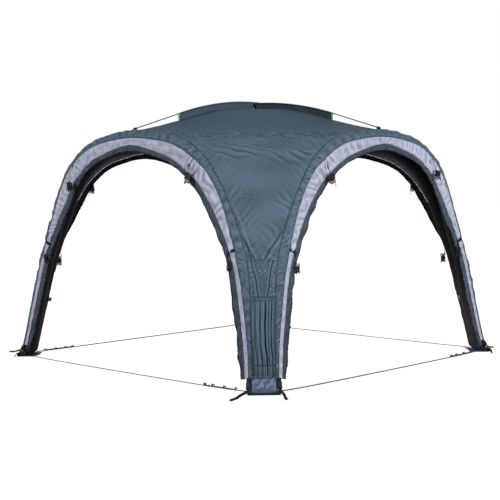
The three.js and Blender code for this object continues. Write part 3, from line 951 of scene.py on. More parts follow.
def canopy_skin():
    n, rows = 53, even_stations(0, WAIST, 0.0136)
    points, faces, seen, drawn, crossing, painted_shading = [], [], {}, [], [], []

    def indices(row, one, two, three):
        """Numbers of a row's points, each new point kept with its layers."""
        found = []
        for q, a, b, m in zip(row, one, two, three):
            key = tuple(np.round(q * 20000).astype(int))
            if key not in seen:
                seen[key] = len(points)
                points.append(q)
                drawn.append(a)
                crossing.append(b)
                painted_shading.append((m, 0))
            found.append(seen[key])
        return found

    top_z, top_out = 0.006, round_beam(0.0, seam_angle(0.0), COVER_R)[1]
    for k in range(4):
        above = None
        for i in range(n + 1):
            r = i / n
            c = np.linspace(-1, 1, i + 1) if i else np.zeros(1)
            out = r * (top_out - (SEAM_GAP if i == n else 0))
            slack = 0.003 * drift(c * r, r + 0 * c, 70 + k, 0.45) * (1 - c**2) * r * (1 - r)
            ring = 0.004 * pleats(np.full_like(c, r * 9.0), 1.5) * (1 - np.abs(c)) * hump(r, 0.93, 0.06)
            z = along(ROOF_RIDGE, np.full_like(c, r * ROOF_REACH))[:, 0] + top_z * r * (1 - c * c) + slack + ring
            one, two = fine_creases(np.zeros_like(c), c, k)
            one[:, 0] = c * r * 24 + 0.8 * drift(c * r, r + 0 * c, 75 + k, 0.3)
            one[:, 1] = 0.08 * soft_step(0.5, 0.95, r)
            where = corner(c * out * DIAGONAL, out * DIAGONAL, z, k)
            row = indices(where, one, two * (1, 0.4 * r), 0 * c)
            if above is not None:
                for j in range(i):
                    faces.append((above[j], row[j + 1], row[j]))
                    if j:
                        faces.append((above[j - 1], above[j], row[j]))
            above = row
        c = np.linspace(-1, 1, n + 1)
        for v in rows[1:]:
            at = np.full_like(c, v)
            # Leg rows keep the painted highlight and shade of the upper folds; roof rows keep none.
            row = indices(leg_point(v, c, k, upper_folds(at, c, k)), *fine_creases(at, c, k), painted_upper_shading(at, c, k))
            for j in range(n):
                faces.append((above[j], row[j + 1], row[j]))
                faces.append((above[j], above[j + 1], row[j + 1]))
            above = row
    points = np.array(points)
    around = np.arctan2(points[:, 1], points[:, 0]) * 1.4
    lengths = np.stack([np.hypot(points[:, 0], points[:, 1]) - points[:, 2], around], -1)
    layers = {"cloth": lengths, "drawn_in": np.array(drawn), "crossing": np.array(crossing), "folds": np.array(painted_shading)}
    skin = sheet_piece("canopy_skin", points, faces, canopy_cloth, CLOTH, layers, points - (0, 0, 1.0), lining_cloth)
    keep(skin, "canopy_cloth", "canopy")
    corners = points[np.array(faces)]
    size = np.linalg.norm(np.cross(corners[:, 1] - corners[:, 0], corners[:, 2] - corners[:, 0]), axis=1).sum() / 2
    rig.sheet(skin, flat=(4.6, 4.6), held="stretched", area=round(float(size), 3),
             rests_on=[f"cover_{n}" for n in (1, 2, 3, 4)])


canopy_skin()


# Leg panels below the waist seam

DART_END = 0.285  # from the waist seam down to the seam where the two slanting seams end
LEG_VALLEYS = [(-0.66, 0.011), (-0.25, 0.013), (0.16, 0.022), (0.42, 0.009), (0.64, 0.015), (0.86, 0.009)]


def dart_line(v, c, k):
    """How far a point is from the two slanting seams, as a share of the panel's half width."""
    down = np.maximum(reach(v) - reach(WAIST), 0)
    seam = 0.70 - 0.42 * np.clip(down / DART_END, 0, 1)
    return np.abs(c) - seam + 0.028 * drift(down, 0.1 * np.sign(c), 47 + k, 0.16)


def lower_folds(v, c, k):
    """Upright folds, a deep one near the middle, and the two slanting seams under the waist."""
    half = half_width(v)
    x = c * half
    down = np.maximum(reach(v) - reach(WAIST), 0)
    bottom = reach(HEM) - reach(v)
    seed = 40 + 5 * k
    rng = np.random.default_rng(seed)
    wander = 0.05 * drift(down, 0 * down, seed, 0.5) + 0.03 * drift(down, 0 * down, seed + 1, 0.2)
    under = soft_step(DART_END, 0.35, down)
    flute = 0
    for at, deep in LEG_VALLEYS:
        at = at + (rng.uniform(-0.15, 0.15) if k else 0)
        flute = flute - deep * hump(c + wander * rng.uniform(0.5, 1.5), at, 0.075) * patches(down, x, seed + 9, 0.3, 0.55)
    fine = pleats((x + 0.08 * wander) / 0.017 + 0.5 * drift(x, down, seed + 3, 0.3), 0.9)
    flute = under * (flute + 0.0042 * fine * patches(x, down, seed + 4, 0.3, 0.3) + 0.004 * (1 - c * c))
    above = 1 - soft_step(0.27, 0.295, down)
    dart = dart_line(v, c, k)
    ridge = above * (0.0060 * hump(dart, -0.06, 0.06) - 0.0080 * hump(dart, 0.05, 0.05))
    pull = pleats((1.3 * down - 0.5 * np.abs(x)) / 0.034 + drift(x, down, seed + 5, 0.2)) * soft_step(0.0, 0.15, dart)
    over = pleats((down + 1.1 * x) / 0.060 + 0.3 * drift(x, down, seed + 6, 0.2), 0.9)
    over = over * patches(x, down, seed + 8, 0.12)
    back = pleats((down - 1.6 * x) / 0.075 + 0.3 * drift(x, down, seed + 10, 0.2), 0.9)
    back = back * patches(x, down, seed + 11, 0.12)
    pull = above * (0.0080 * pull * patches(x, down, seed + 7, 0.1, 0.3) + 0.0036 * over + 0.0030 * back)
    seams = hump(down, 0.293, 0.007) - hump(down, 0.281, 0.005) - hump(bottom, 0.100, 0.004) + hump(bottom, 0.008, 0.010)
    tucked = -0.0032 * (1 - soft_step(WAIST - 0.001, WAIST + 0.003, v))
    return (flute + ridge + pull) * (1 - np.abs(c) ** 8) + 0.0030 * seams + tucked


def leg_panel(k):
    v = even_stations(WAIST - 0.004, HEM, 0.0088)[:, None]
    c = np.linspace(-1, 1, 51)[None, :]
    v, c = np.broadcast_arrays(v, c)
    height = lower_folds(v, c, k)
    # Painted highlight and shade of the leg panel's folds.
    painted_shading = painted_fold_shading(height, 2, 3, 0.0022, 0.5, 0.0088)
    down, bottom = reach(v) - reach(WAIST), reach(HEM) - reach(v)
    # Darker lines along the seams and the darts, through the same painted shade layer.
    for line, width in ((down - 0.008, 0.0075), (down - DART_END, 0.0060), (bottom - 0.100, 0.0045)):
        painted_shading = limited(painted_shading - 0.9 * hump(line, 0, width))
    dart = dart_line(v, c, k) * half_width(v)
    painted_shading = limited(painted_shading - 0.8 * hump(dart, 0, 0.0035) * (down < DART_END))
    grid = leg_point(v, c, k, height)
    away = corner(0, 1.0, 0, k)
    panel = cloth_piece(f"leg_skin_{k + 1}", grid, leg_cloth, CLOTH, toward=away, lining=lining_cloth, painted_shading=painted_shading)
    keep(panel, "canopy_cloth", f"leg_panel_{k + 1}")
    area = cloth_area(grid)
    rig.sheet(panel, flat=(0.42, 1.02), held="hung", area=round(area, 4), rests_on=["canopy_skin"])


for k in range(4):
    leg_panel(k)


# Cloth along each arch


def cover_grid(side):
    """Points of the cover from the light strip's seam round to the canopy's, and their painted highlight and shade of
    the folds.
    """
    step = 0.0072
    v = even_stations(-HEM, HEM, step)[:, None]
    w = np.linspace(0, 1, 11)[None, :]
    v, w = np.broadcast_arrays(v, w)
    gap = math.degrees(SEAM_GAP / COVER_R)
    angle = gap + (seam_angle(v) - 2 * gap) * w
    far = reach(v)
    wide = COVER_R * np.radians(angle)
    seed = 90 + 7 * side
    low = soft_step(0.36, 0.50, np.abs(v))
    bend = 0.9 * drift(far, wide * 0.3, seed, 0.2) + 0.3 * drift(far, wide, seed + 3, 0.06)
    gather = pleats((np.abs(far) - 1.05 * wide) / 0.040 + bend, 0.75)
    ticks = pleats((np.abs(far) - 0.5 * wide) / 0.031 + bend, 0.8) * (1 - low)
    patch = patches(far, wide, seed + 1, 0.19, 0.30)
    round_off = np.sin(np.pi * np.clip(w, 0.04, 0.96)) ** 0.6
    rise = (0.0115 * low * gather + 0.0100 * ticks) * patch * round_off
    rise = rise + 0.0030 * drift(far, wide, seed + 2, 0.09) * round_off
    return place(round_beam(v, angle, COVER_R + rise), side), limited(painted_arch_shading(rise, 4, 1, 0.0026, step, v))


def hanging_grid(side, column):
    """Points of the light strip (column 0) or of the dark band below it, and their painted highlight and shade of the
    folds.
    """
    step, odd = 0.0090, side % 2
    v = even_stations(-HEM, HEM, step)[:, None]
    w = np.linspace(0, 1, 10 if column == 0 else 14)[None, :]
    v, w = np.broadcast_arrays(v, w)
    depths = along(VALANCE, np.abs(v))
    far = reach(v)
    seed = 150 + 9 * side + column
    if column == 0:
        top, low = SEAM_GAP, depths[..., 0] - SEAM_GAP
    else:
        top, low = depths[..., 0] + SEAM_GAP, depths[..., 1]
    depth = top + (low - top) * w
    lean = 0.06 * np.maximum(depth - depths[..., 0], 0)
    legs = soft_step(0.60, 0.66, np.abs(v))
    bend = 0.8 * drift(far, depth * 0.5, seed, 0.2)
    if column == 0:
        crown = 1 - soft_step(0.255, 0.268, np.abs(v))
        level = at_beam(v, 0.0, -depth)[..., 2]
        ribs = pleats(level / 0.027 + 0.4 * bend, 0.8) * soft_step(0.10, 0.16, v) * crown * (1 - odd)
        rays = pleats((far + 0.35 * depth) / (0.052 if odd else 0.088) + bend, 0.8) * crown
        rays = rays * (1 - soft_step(0.08, 0.14, v) * (1 - odd)) * patches(far, depth, seed + 4, 0.3, 0.25)
        shoulder = (1 - crown) * (1 - legs)
        sag = pleats((np.abs(far) + 0.9 * depth) / 0.17 + bend, 1.2) * shoulder
        sharp = pleats((np.abs(far) + 0.8 * depth) / 0.035 + bend) * shoulder * patches(far, depth, seed + 5, 0.10)
        low_part = soft_step(0.45, 0.55, np.abs(v))
        off = 0.0075 * ribs + (0.0140 if odd else 0.0110) * rays + 0.0120 * sag
        off = off + 0.0080 * sharp * (0.35 + 0.65 * low_part) + 0.0050 * drift(far, depth, seed + 2, 0.10)
        off = off + 0.0030 * pleats(far / 0.022 + bend) * legs
        joint = (hump(v, 0.268, 0.003) - hump(v, 0.274, 0.003)) * (1 - odd)
        off = off * np.sin(np.pi * np.clip(w * 0.98 + 0.01, 0, 1)) ** 0.6 + 0.0040 * joint
    else:
        steep = (depth - depths[..., 0]) * (1.1 + 0.3 * legs)
        gather = pleats((np.abs(far) - steep) / 0.036 + 0.9 * bend, 0.8)
        off = 0.0150 * gather * patches(far, depth, seed + 1, 0.14, 0.4) * np.minimum(w * 2.5, 1)
        off = off * (1 - 0.6 * soft_step(0.75, 1.0, w)) - 0.004 * w
        off = off + 0.0050 * drift(far, depth, seed + 2, 0.16) * w
    painted_shading = painted_arch_shading(off, 3, 2, 0.0030, step, v) * (0.55 if column == 0 else 1)
    return place(at_beam(v, VALANCE_OUT - lean + off, -depth), side), limited(painted_shading)


def edge_binding(side, band):
    """Black tape folded over the dark band's free edge."""
    edge, inner = band[:, -1], band[:, -2]
    way = unit(edge - inner)
    grid = np.stack([edge - way * 0.011, edge - way * 0.004, edge + way * 0.0016], 1)
    return cloth_piece(f"edge_binding_{side + 1}", grid, binding_tape, 0.0034)


def seam_tapes(side):
    """Narrow dark tapes over the seams on either side of the beam cover."""
    parts = []
    v = even_stations(-HEM + 0.002, HEM - 0.002, 0.03)
    for degrees, width in ((seam_angle(v), 0.0055), (np.full_like(v, 1.0), 0.0045)):
        path = place(round_beam(v, degrees, COVER_R + 0.0018), side)
        over = unit(path - place(beam_centre(v), side))
        run = unit(np.gradient(path, axis=0))
        parts.append(tape_piece("tape", path, np.cross(over, run), width, 0.0012, seam_cloth, 2))
    return join(f"seam_tape_{side + 1}", parts)


def keeper(side, sign):
    """Black webbing over the light strip where it narrows, with a tab that a guy line is tied to."""
    v = sign * KEEPER
    depth = along(VALANCE, np.array([abs(v)]))[0, 0]
    share = np.linspace(0, 1, 15)
    rise = VALANCE_OUT + 0.0035 + 0.007 * np.sin(np.pi * share)
    path = at_beam(np.full(15, v), rise, 0.004 - share * (depth + 0.016))
    run = beam_centre(v + 0.001) - beam_centre(v - 0.001)
    web = tape_piece("web", place(path, side), place(run, side), 0.026, 0.0022, webbing)
    end = path[-1]
    drop = end + np.array([(0, 0.001, 0.004), (sign * 0.004, 0.006, -0.018), (sign * 0.006, 0.005, -0.045)])
    drop = smooth_path(drop, 0.003)
    tab = tape_piece("tab", place(drop, side), place(np.array([0.9, 0.35, 0]), side), 0.015, 0.0022, webbing)
    return join(f"keeper_{side + 1}_{1 if sign < 0 else 2}", [web, tab])


for side in range(4):
    n = side + 1
    away = place(OUT, side)
    grid, painted_shading = cover_grid(side)
    cover = cloth_piece(f"cover_{n}", grid, cover_cloth, CLOTH, toward=away, lining=lining_cloth, painted_shading=painted_shading)
    keep(cover, "canopy_cloth", f"beam_cover_{n}")
    tapes = keep(seam_tapes(side), "canopy_cloth")
    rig.sheet(cover, flat=(0.13, 5.9), held="gathered", area=round(cloth_area(grid), 4), rests_on=[f"beam_{n}"],
             with_pieces=[tapes])
    grid, painted_shading = hanging_grid(side, 0)
    strip = cloth_piece(f"light_strip_{n}", grid, pale_cloth, CLOTH, toward=away, painted_shading=painted_shading)
    keep(strip, "light_cloth", f"eave_strip_{n}")
    keepers = [keep(keeper(side, sign), "webbing") for sign in (-1, 1)]
    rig.sheet(strip, flat=(0.15, 5.9), held="hung", area=round(cloth_area(grid), 4), rests_on=[cover],
             with_pieces=keepers)
    grid, painted_shading = hanging_grid(side, 1)
    band = cloth_piece(f"dark_band_{n}", grid, band_cloth, CLOTH, toward=away, lining=dark_lining, painted_shading=painted_shading)
    keep(band, "dark_cloth", f"eave_band_{n}_1", f"eave_band_{n}_2")
    binding = keep(edge_binding(side, grid), "webbing")
    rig.sheet(band, flat=(0.10, 5.9), held="gathered", area=round(cloth_area(grid), 4), rests_on=[strip],
             with_pieces=[binding])


# Air beams and the cloth sleeves over them


def air_beam(side):
    v = even_stations(-1, 1, 0.05)
    a = np.linspace(0, 360, 36, endpoint=False)[None, :]
    rings = [round_beam(u, a[0], BEAM_R) for u in v]

    def end(sign):
        out = []
        dip = unit(beam_centre(sign * 1.0) - beam_centre(sign * 0.99))
        for t in np.radians(np.linspace(12, 84, 6)):
            out.append(round_beam(sign * 1.0, a[0], BEAM_R * math.cos(t)) + dip * BEAM_R * math.sin(t))
        return out

    rings = end(-1)[::-1] + rings + end(1)
    return rings_piece(f"beam_{side + 1}", place(np.array(rings), side), film)


def beam_sleeve(side):
    v = even_stations(-SLEEVE_END, SLEEVE_END, 0.0180)[:, None]
    a = np.linspace(0, 360, 26, endpoint=False)[None, :]
    v, a = np.broadcast_arrays(v, a)
    far, r = reach(v), np.radians(a)
    seed = 300 + 6 * side
    east, north = np.cos(r) * 0.07, np.sin(r) * 0.07
    bend = drift(east + far, north, seed, 0.22)
    fold = creases(far / 0.047 + 0.7 * np.sin(r + 0.9) + 0.8 * bend, 1.5)
    small = creases(far / 0.021 + 1.1 * np.cos(r) + 1.3 * bend, 1.3)
    inner = 0.5 - 0.5 * np.sin(r + 0.5)
    rise = (0.0026 * fold + 0.0012 * small) * (0.3 + 0.7 * inner) * (0.6 + 0.4 * drift(far, north, seed + 1, 0.4))
    end = soft_step(SLEEVE_END - 0.022, SLEEVE_END - 0.004, np.abs(v))
    pleat = creases(a / 360 * 15 + 0.3 * bend, 1.2) * 0.0030 * end
    cuff = 0.0014 * end
    hug = 0.0016 * soft_step(0.6, 1, np.cos(r - 0.75))
    # Painted highlight and shade of the sleeve's creases.
    painted_shading = painted_fold_shading(rise + pleat, 2, 1, 0.0016)
    return place(round_beam(v, a, SLEEVE_R + 0.0006 + rise * (1 - 0.6 * end) + pleat + cuff - hug), side), painted_shading


for side in range(4):
    n = side + 1
    keep(air_beam(side), "beam", f"air_beam_{n}")
    grid, painted_shading = beam_sleeve(side)
    sleeve = cloth_piece(f"beam_sleeve_{n}", grid, sleeve_cloth, 0.0010, turned=True, wrap=True, painted_shading=painted_shading)
    keep(sleeve, "beam")
    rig.sheet(sleeve, flat=(0.385, 3.86), held="stretched", rests_on=[f"beam_{n}"])


# Roof poles and their upright sleeves

POLE_R = 0.0045
POLE_END = 1.486
HOLDER = 1.462
FIN_END = 0.960
FIN_TOP = 2.218  # height of the poles where their sleeves end
LOWER_POLE = 0.012


def pole_height(r, drop):
    apex = 2.366 - drop
    r = np.abs(r)
    inside = apex - (apex - FIN_TOP) * (r / FIN_END) ** 2
    outside = FIN_TOP + (2.063 - FIN_TOP) * (r - FIN_END) / (POLE_END - FIN_END)
    return np.where(r <= FIN_END, inside, outside)


def roof_pole(number, drop, side):
    outer = np.linspace(FIN_END, POLE_END, 12)[1:]
    r = np.r_[-outer[::-1], np.linspace(-FIN_END, FIN_END, 49), outer]
    path = place(np.stack([0 * r, r, pole_height(r, drop)], -1), side)
    pole = cord_piece(f"pole_{number}", path, POLE_R, pole_finish, 12)
    parts = [pole]
    for sign in (-1, 1):
        s = np.array([1.440, 1.441, 1.452, 1.470, 1.471, 1.480, 1.486]) * sign
        size = np.array([5.2, 6.2, 6.6, 6.6, 7.4, 7.4, 4.8]) * MM
        end = place(np.stack([0 * s, s, pole_height(s, drop)], -1), side)
        parts.append(cord_piece("tip", end, size, clip_plastic, 14))
        hold = []
        for t in np.linspace(-0.6, 3.74, 24):
            hold.append((0.0105 * math.cos(t), HOLDER, pole_height(HOLDER, drop) - 0.001 + 0.0098 * math.sin(t)))
        hold = [(0.024, HOLDER, 2.0535), *hold, (-0.024, HOLDER, 2.0535)]
        hold = smooth_path(np.array(hold) * (1, sign, 1), 0.002)
        parts.append(tape_piece("holder", place(hold, side), place(OUT, side), 0.020, 0.0014, webbing))
    return join(f"roof_pole_piece_{number}", parts)


keep(roof_pole(1, 0.0, 0), "pole", "roof_pole_1")
keep(roof_pole(2, LOWER_POLE, 1), "pole", "roof_pole_2")


def pole_fin(side, drop):
    """One strip of cloth folded over the pole, its two edges sewn to the roof."""
    r = np.linspace(0.003, FIN_END, 62)
    z = pole_height(r, drop)
    low = along(ROOF_RIDGE, r)[:, 0] + 0.0016 - 0.008 * soft_step(0.1, 0.3, r)
    t = np.radians(np.linspace(-78, 258, 15))
    loop = 0.0066 * np.stack([np.cos(t), np.sin(t)], -1)
    wave = 0.0018 * drift(r, 0 * r, 500 + side, 0.16) + 0.0012 * drift(r, 0 * r, 510 + side, 0.05)
    rows = []
    for i in range(len(r)):
        deep = z[i] - low[i]
        share = np.linspace(0, 1, 9)[:-1]
        bulge = wave[i] * np.sin(np.pi * share)
        up_side = np.stack([0.0012 + bulge, -deep + share * (deep - 0.0066)], -1)
        down_side = np.stack([-0.0012 + bulge[::-1], -deep + share[::-1] * (deep - 0.0066)], -1)
        section = np.vstack([up_side, loop, down_side])
        rows.append(np.stack([section[:, 0], np.full(len(section), r[i]), z[i] + section[:, 1]], -1))
    grid = place(np.array(rows), side)
    n = side + 1
    fin = cloth_piece(f"pole_fin_{n}", grid, dark_fin_cloth if side % 2 else fin_cloth, 0.0009)
    keep(fin, "dark_cloth", f"pole_sleeve_{n}")
    parts = []
    for end, way in ((-1, 1), (0, -1)):
        edge = grid[end] if way > 0 else grid[end][3:9]
        wide = place(OUT, side)
        band = np.stack([edge - wide * 0.009 * way, edge + wide * 0.0012 * way], 1)
        parts.append(cloth_piece("tape", band, green_tape, 0.0026))
    tape = join(f"fin_binding_{n}", parts)
    keep(tape, "dark_cloth")
    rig.sheet(fin, flat=(0.147 if side % 2 else 0.163, 0.935), held="stretched", rests_on=["canopy_skin"],
             with_pieces=[tape])


for side in range(4):
    pole_fin(side, LOWER_POLE if side % 2 else 0.0)


# Feet: pouch, base strap, webbing straps with buckles

# Half width, outward and height down the front of the foot and inward under it, of the pouch and the base strap
PAD = np.array([
    (86, 2168.2, 137), (92, 2172.8, 117), (95, 2186, 96), (96, 2195, 64), (97, 2199, 28), (99, 2193, 10),
    (112, 2170, 6.5), (120, 2115, 6.5), (118, 2062, 6.5), (108, 2036, 9), (98, 2024, 16),
]) * MM
BASE = np.array([(124, 2229, 22), (126, 2230, 9), (127, 2222, 2), (127, 2140, 2), (127, 2066, 2)]) * MM


def spread_rows(table, step):
    """Rows of a table at even steps along its curve."""
    far = np.r_[0, np.cumsum(np.hypot(np.diff(table[:, 1]), np.diff(table[:, 2])))]
    return along(np.column_stack([far, table]), np.linspace(0, far[-1], int(far[-1] / step)))


def foot_pouch(k):
    rows = spread_rows(PAD, 0.008)
    w = np.linspace(-1, 1, 29)
    far = np.arange(len(rows)) * 0.008
    front = 1 - soft_step(0.085, 0.11, far)
    dent = drift(w[None, :] * 0.09, far[:, None], 610 + k, 0.075)
    crease = pleats((w[None, :] * 0.09 + 0.8 * far[:, None]) / 0.060 + 0.25 * dent, 1.3)
    push = (0.002 * dent + 0.009 * crease) * front[:, None] * (1 - w[None, :] ** 4)
    fold = 0.010 * soft_step(0.80, 1.0, np.abs(w))[None, :] * front[:, None]
    out = rows[:, 1:2] + push - fold
    lift = 0.0012 * np.abs(drift(w[None, :] * 0.1, far[:, None], 620 + k, 0.06)) * (1 - front[:, None])
    grid = corner(rows[:, 0:1] * w[None, :], out, rows[:, 2:3] + lift, k)
    # Painted highlight and shade of the pouch's creases.
    painted_shading = painted_fold_shading(push, 2, 3, 0.0030, 0.9, 0.008)
    pouch = cloth_piece(f"pouch_{k + 1}", grid, pouch_sheet, 0.0020, painted_shading=painted_shading)
    keep(pouch, "pouch", f"foot_pouch_{k + 1}")
    return pouch, cloth_area(grid)


def foot_base(k):
    rows = spread_rows(BASE, 0.006)
    rows[:, 2] = np.maximum(rows[:, 2], 0.002)
    w = np.linspace(-1, 1, 21)
    rough = np.abs(0.0005 * drift(w[None, :] * 0.12, np.arange(len(rows))[:, None] * 0.006, 640 + k, 0.05))
    grid = corner(rows[:, 0:1] * w[None, :], rows[:, 1:2], rows[:, 2:3] + rough, k)
    base = cloth_piece(f"base_{k + 1}", grid, webbing, 0.0036)
    keep(base, "webbing", f"foot_base_{k + 1}")
    return base


# Across and outward place of each strap's free end, left and right, foot by foot
TAILS = np.array([
    [[-267, 2443], [166, 2431]], [[-257, 2215], [150, 2330]], [[-267, 2443], [166, 2431]], [[-180, 2360], [205, 2250]],
]) * MM


def rounded_block(name, middle, axes, halves, material, edge=0.002, levels=2):
    """A block with round edges; axes are its three directions."""
    points = []
    for x in (-1, 1):
        for y in (-1, 1):
            for z in (-1, 1):
                points.append(middle + x * axes[0] * halves[0] + y * axes[1] * halves[1] + z * axes[2] * halves[2])
    faces = [(0, 1, 3, 2), (4, 6, 7, 5), (0, 4, 5, 1), (2, 3, 7, 6), (0, 2, 6, 4), (1, 5, 7, 3)]
    if np.dot(np.cross(axes[0], axes[1]), axes[2]) < 0:
        faces = [f[::-1] for f in faces]
    piece = new_piece(name, points, faces, material)
    bevel = piece.modifiers.new("round", "BEVEL")
    bevel.width = edge
    bevel.segments = levels
    return bake(piece)


def bake(piece):
    """Turns a piece and its modifiers into a plain mesh."""
    depsgraph = bpy.context.evaluated_depsgraph_get()
    mesh = bpy.data.meshes.new_from_object(piece.evaluated_get(depsgraph))
    piece.modifiers.clear()
    piece.data = mesh
    return piece


# Blocks of a buckle: place across and down it, half sizes, edge radius and its steps
BUCKLE = [
    (0, 0, (0.0165, 0.013, 0.0050), 0.0025, 3), (-0.0135, -0.020, (0.0026, 0.011, 0.0034), 0.0012, 2),
    (0.0135, -0.020, (0.0026, 0.011, 0.0034), 0.0012, 2), (0, -0.021, (0.0052, 0.0105, 0.0030), 0.0012, 2),
    (0, 0.0255, (0.0165, 0.0026, 0.0036), 0.0012, 2), (-0.0145, 0.019, (0.0024, 0.0085, 0.0034), 0.0011, 2),
    (0.0145, 0.019, (0.0024, 0.0085, 0.0034), 0.0011, 2),
]


def foot_strap(k, i, sign):
    """One side's webbing and closed buckle, its tail out over the ground, and the small pull loop."""
    tail_across, tail_out = TAILS[k][i]
    across, outward = corner(1, 0, 0, k), corner(0, 1, 0, k)

    def at(a, o, z):
        return corner(a, o, z, k)

    web = [(0.117, 2.166, 0.122), (0.119, 2.175, 0.112), (0.120, 2.182, 0.088), (0.120, 2.188, 0.060), (0.119, 2.196, 0.028)]
    web = smooth_path([at(a * sign, o, z) for a, o, z in web], 0.003)
    parts = [tape_piece("web", web, across, 0.026, 0.0022, webbing)]
    lean = unit(at(0, 2.203, 0.044) - at(0, 2.186, 0.090))
    axes = (across, lean, unit(np.cross(across, lean)))
    middle = at(0.1205 * sign, 2.196, 0.067)
    for over, down, halves, edge, levels in BUCKLE:
        block = middle + across * over + lean * down
        parts.append(rounded_block("block", block, axes, halves, clip_plastic, edge, levels))
    knots = [at(0.1205 * sign, 2.201, 0.050), at(0.121 * sign, 2.213, 0.036), at(0.128 * sign, 2.233, 0.031)]
    for t in (0.33, 0.66, 1.0):
        a = 0.128 * sign + (tail_across - 0.128 * sign) * t
        sway = 0.006 * math.sin(5 * t + k)
        knots.append(at(a + sway * sign, 2.233 + (tail_out - 2.233) * t, max(0.031 - 0.029 * t * 1.35, 0.0022)))
    tail = smooth_path(knots, 0.004)
    edge = 0.95 - 0.55 * np.linspace(0, 1, len(tail))
    tail[:, 2] = np.maximum(tail[:, 2], 0.0016 + 0.011 * np.sin(edge))
    run = unit(np.gradient(tail, axis=0))
    wide = unit(np.cross(run, UP))
    blend = soft_step(0.0, 0.05, np.arange(len(tail)) * 0.004)[:, None]
    if np.dot(wide[0], across) < 0:
        wide = -wide
    rise = unit(np.cross(wide, run))
    rise = rise * np.sign(rise[:, 2:3])
    wide = wide * np.cos(edge)[:, None] + rise * np.sin(edge)[:, None] * sign
    parts.append(tape_piece("tail", tail, unit(across * (1 - blend) + wide * blend), 0.022, 0.0022, webbing))
    anchor = [(0.1195, 2.203, 0.048), (0.119, 2.214, 0.030), (0.118, 2.224, 0.0255), (0.117, 2.214, 0.0245)]
    anchor = smooth_path([at(a * sign, o, z) for a, o, z in anchor], 0.003)
    parts.append(tape_piece("anchor", anchor, across, 0.020, 0.0018, webbing))
    strap = join(f"strap_{k + 1}_{i + 1}", parts)
    keep(strap, "webbing", f"foot_strap_{k + 1}_{i + 1}")
    loop = []
    for t in np.linspace(0, math.pi, 14):
        loop.append(at((0.1335 + 0.007 * math.sin(t)) * sign, 2.186 + 0.006 * math.cos(t), 0.058 + 0.011 * math.cos(t)))
    orange = tape_piece(f"pull_loop_{k + 1}_{i + 1}", np.array(loop), outward, 0.007, 0.0012, orange_tape)
    keep(orange, "webbing")


for k in range(4):
    pouch, size = foot_pouch(k)
    base = foot_base(k)
    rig.sheet(pouch, flat=(0.25, 0.36), held="folded", area=round(size, 4), rests_on=[base])
    foot_strap(k, 0, -1)
    foot_strap(k, 1, 1)


# Screw valves


def turned_body(name, profile, base, axis, material, sides=36):
    """A body of revolution: profile of (radius, height) pairs from base along axis."""
    side = unit(np.cross(axis, (0.1, 0.2, 1.0)))
    over = np.cross(axis, side)
    a = np.arange(sides) / sides * 2 * math.pi
    rings = [base + axis * h + (side * np.cos(a)[:, None] + over * np.sin(a)[:, None]) * r for r, h in profile]
    return rings_piece(name, rings, material)


def grip_ribs(base, axis, radius, height, count=20):
    """Upright ribs round a cap, placed by geometry nodes."""
    tree = bpy.data.node_groups.new("grip ribs", "GeometryNodeTree")
    face = tree.interface
    face.new_socket("Geometry", in_out="OUTPUT", socket_type="NodeSocketGeometry")
    sizes = {"Radius": radius, "Rib Height": height, "Rib Width": 0.0022}
    for label, value in sizes.items():
        face.new_socket(label, in_out="INPUT", socket_type="NodeSocketFloat").default_value = value
    face.new_socket("Count", in_out="INPUT", socket_type="NodeSocketInt").default_value = count
    add, join_up = tree.nodes.new, tree.links.new
    into, out = add("NodeGroupInput"), add("NodeGroupOutput")
    ring = add("GeometryNodeMeshCircle")
    join_up(into.outputs["Count"], ring.inputs["Vertices"])
    join_up(into.outputs["Radius"], ring.inputs["Radius"])
    size = add("ShaderNodeCombineXYZ")
    join_up(into.outputs["Rib Width"], size.inputs[0])
    join_up(into.outputs["Rib Width"], size.inputs[1])
    join_up(into.outputs["Rib Height"], size.inputs[2])
    rib = add("GeometryNodeMeshCube")
    join_up(size.outputs[0], rib.inputs["Size"])
    where = add("GeometryNodeInputPosition")
    turn = add("FunctionNodeAlignRotationToVector")
    turn.axis = "X"
    join_up(where.outputs[0], turn.inputs["Vector"])
    copies = add("GeometryNodeInstanceOnPoints")
    join_up(ring.outputs[0], copies.inputs["Points"])
    join_up(rib.outputs[0], copies.inputs["Instance"])
    join_up(turn.outputs[0], copies.inputs["Rotation"])
    real, paint = add("GeometryNodeRealizeInstances"), add("GeometryNodeSetMaterial")
    paint.inputs["Material"].default_value = valve_plastic
    join_up(copies.outputs[0], real.inputs[0])
    join_up(real.outputs[0], paint.inputs["Geometry"])
    join_up(paint.outputs[0], out.inputs[0])
    holder = bpy.data.objects.new("ribs", bpy.data.meshes.new("ribs"))
    bpy.context.scene.collection.objects.link(holder)
    modifier = holder.modifiers.new("grip ribs", "NODES")
    modifier.node_group = tree
    bake(holder)
    turn_to = Vector(axis).to_track_quat("Z", "Y").to_matrix().to_4x4()
    holder.data.transform(Matrix.Translation(Vector(base)) @ turn_to)
    holder.data.uv_layers.new(name="cloth")
    return holder


# Outlines of the valve's two bodies: radius and height over the beam
FLANGE = [(0.003, 0), (0.0245, 0.0006), (0.0255, 0.0016), (0.024, 0.0026), (0.018, 0.0032), (0.017, 0.0035),
          (0.0168, 0.009), (0.0135, 0.0095), (0.0135, 0.014), (0.003, 0.0145)]
CAP = [(0.004, 0.0135), (0.0182, 0.0138), (0.0190, 0.0148), (0.0190, 0.0262), (0.0182, 0.0278), (0.0160, 0.0290),
       (0.0100, 0.0293), (0.0095, 0.0283), (0.0020, 0.0282)]


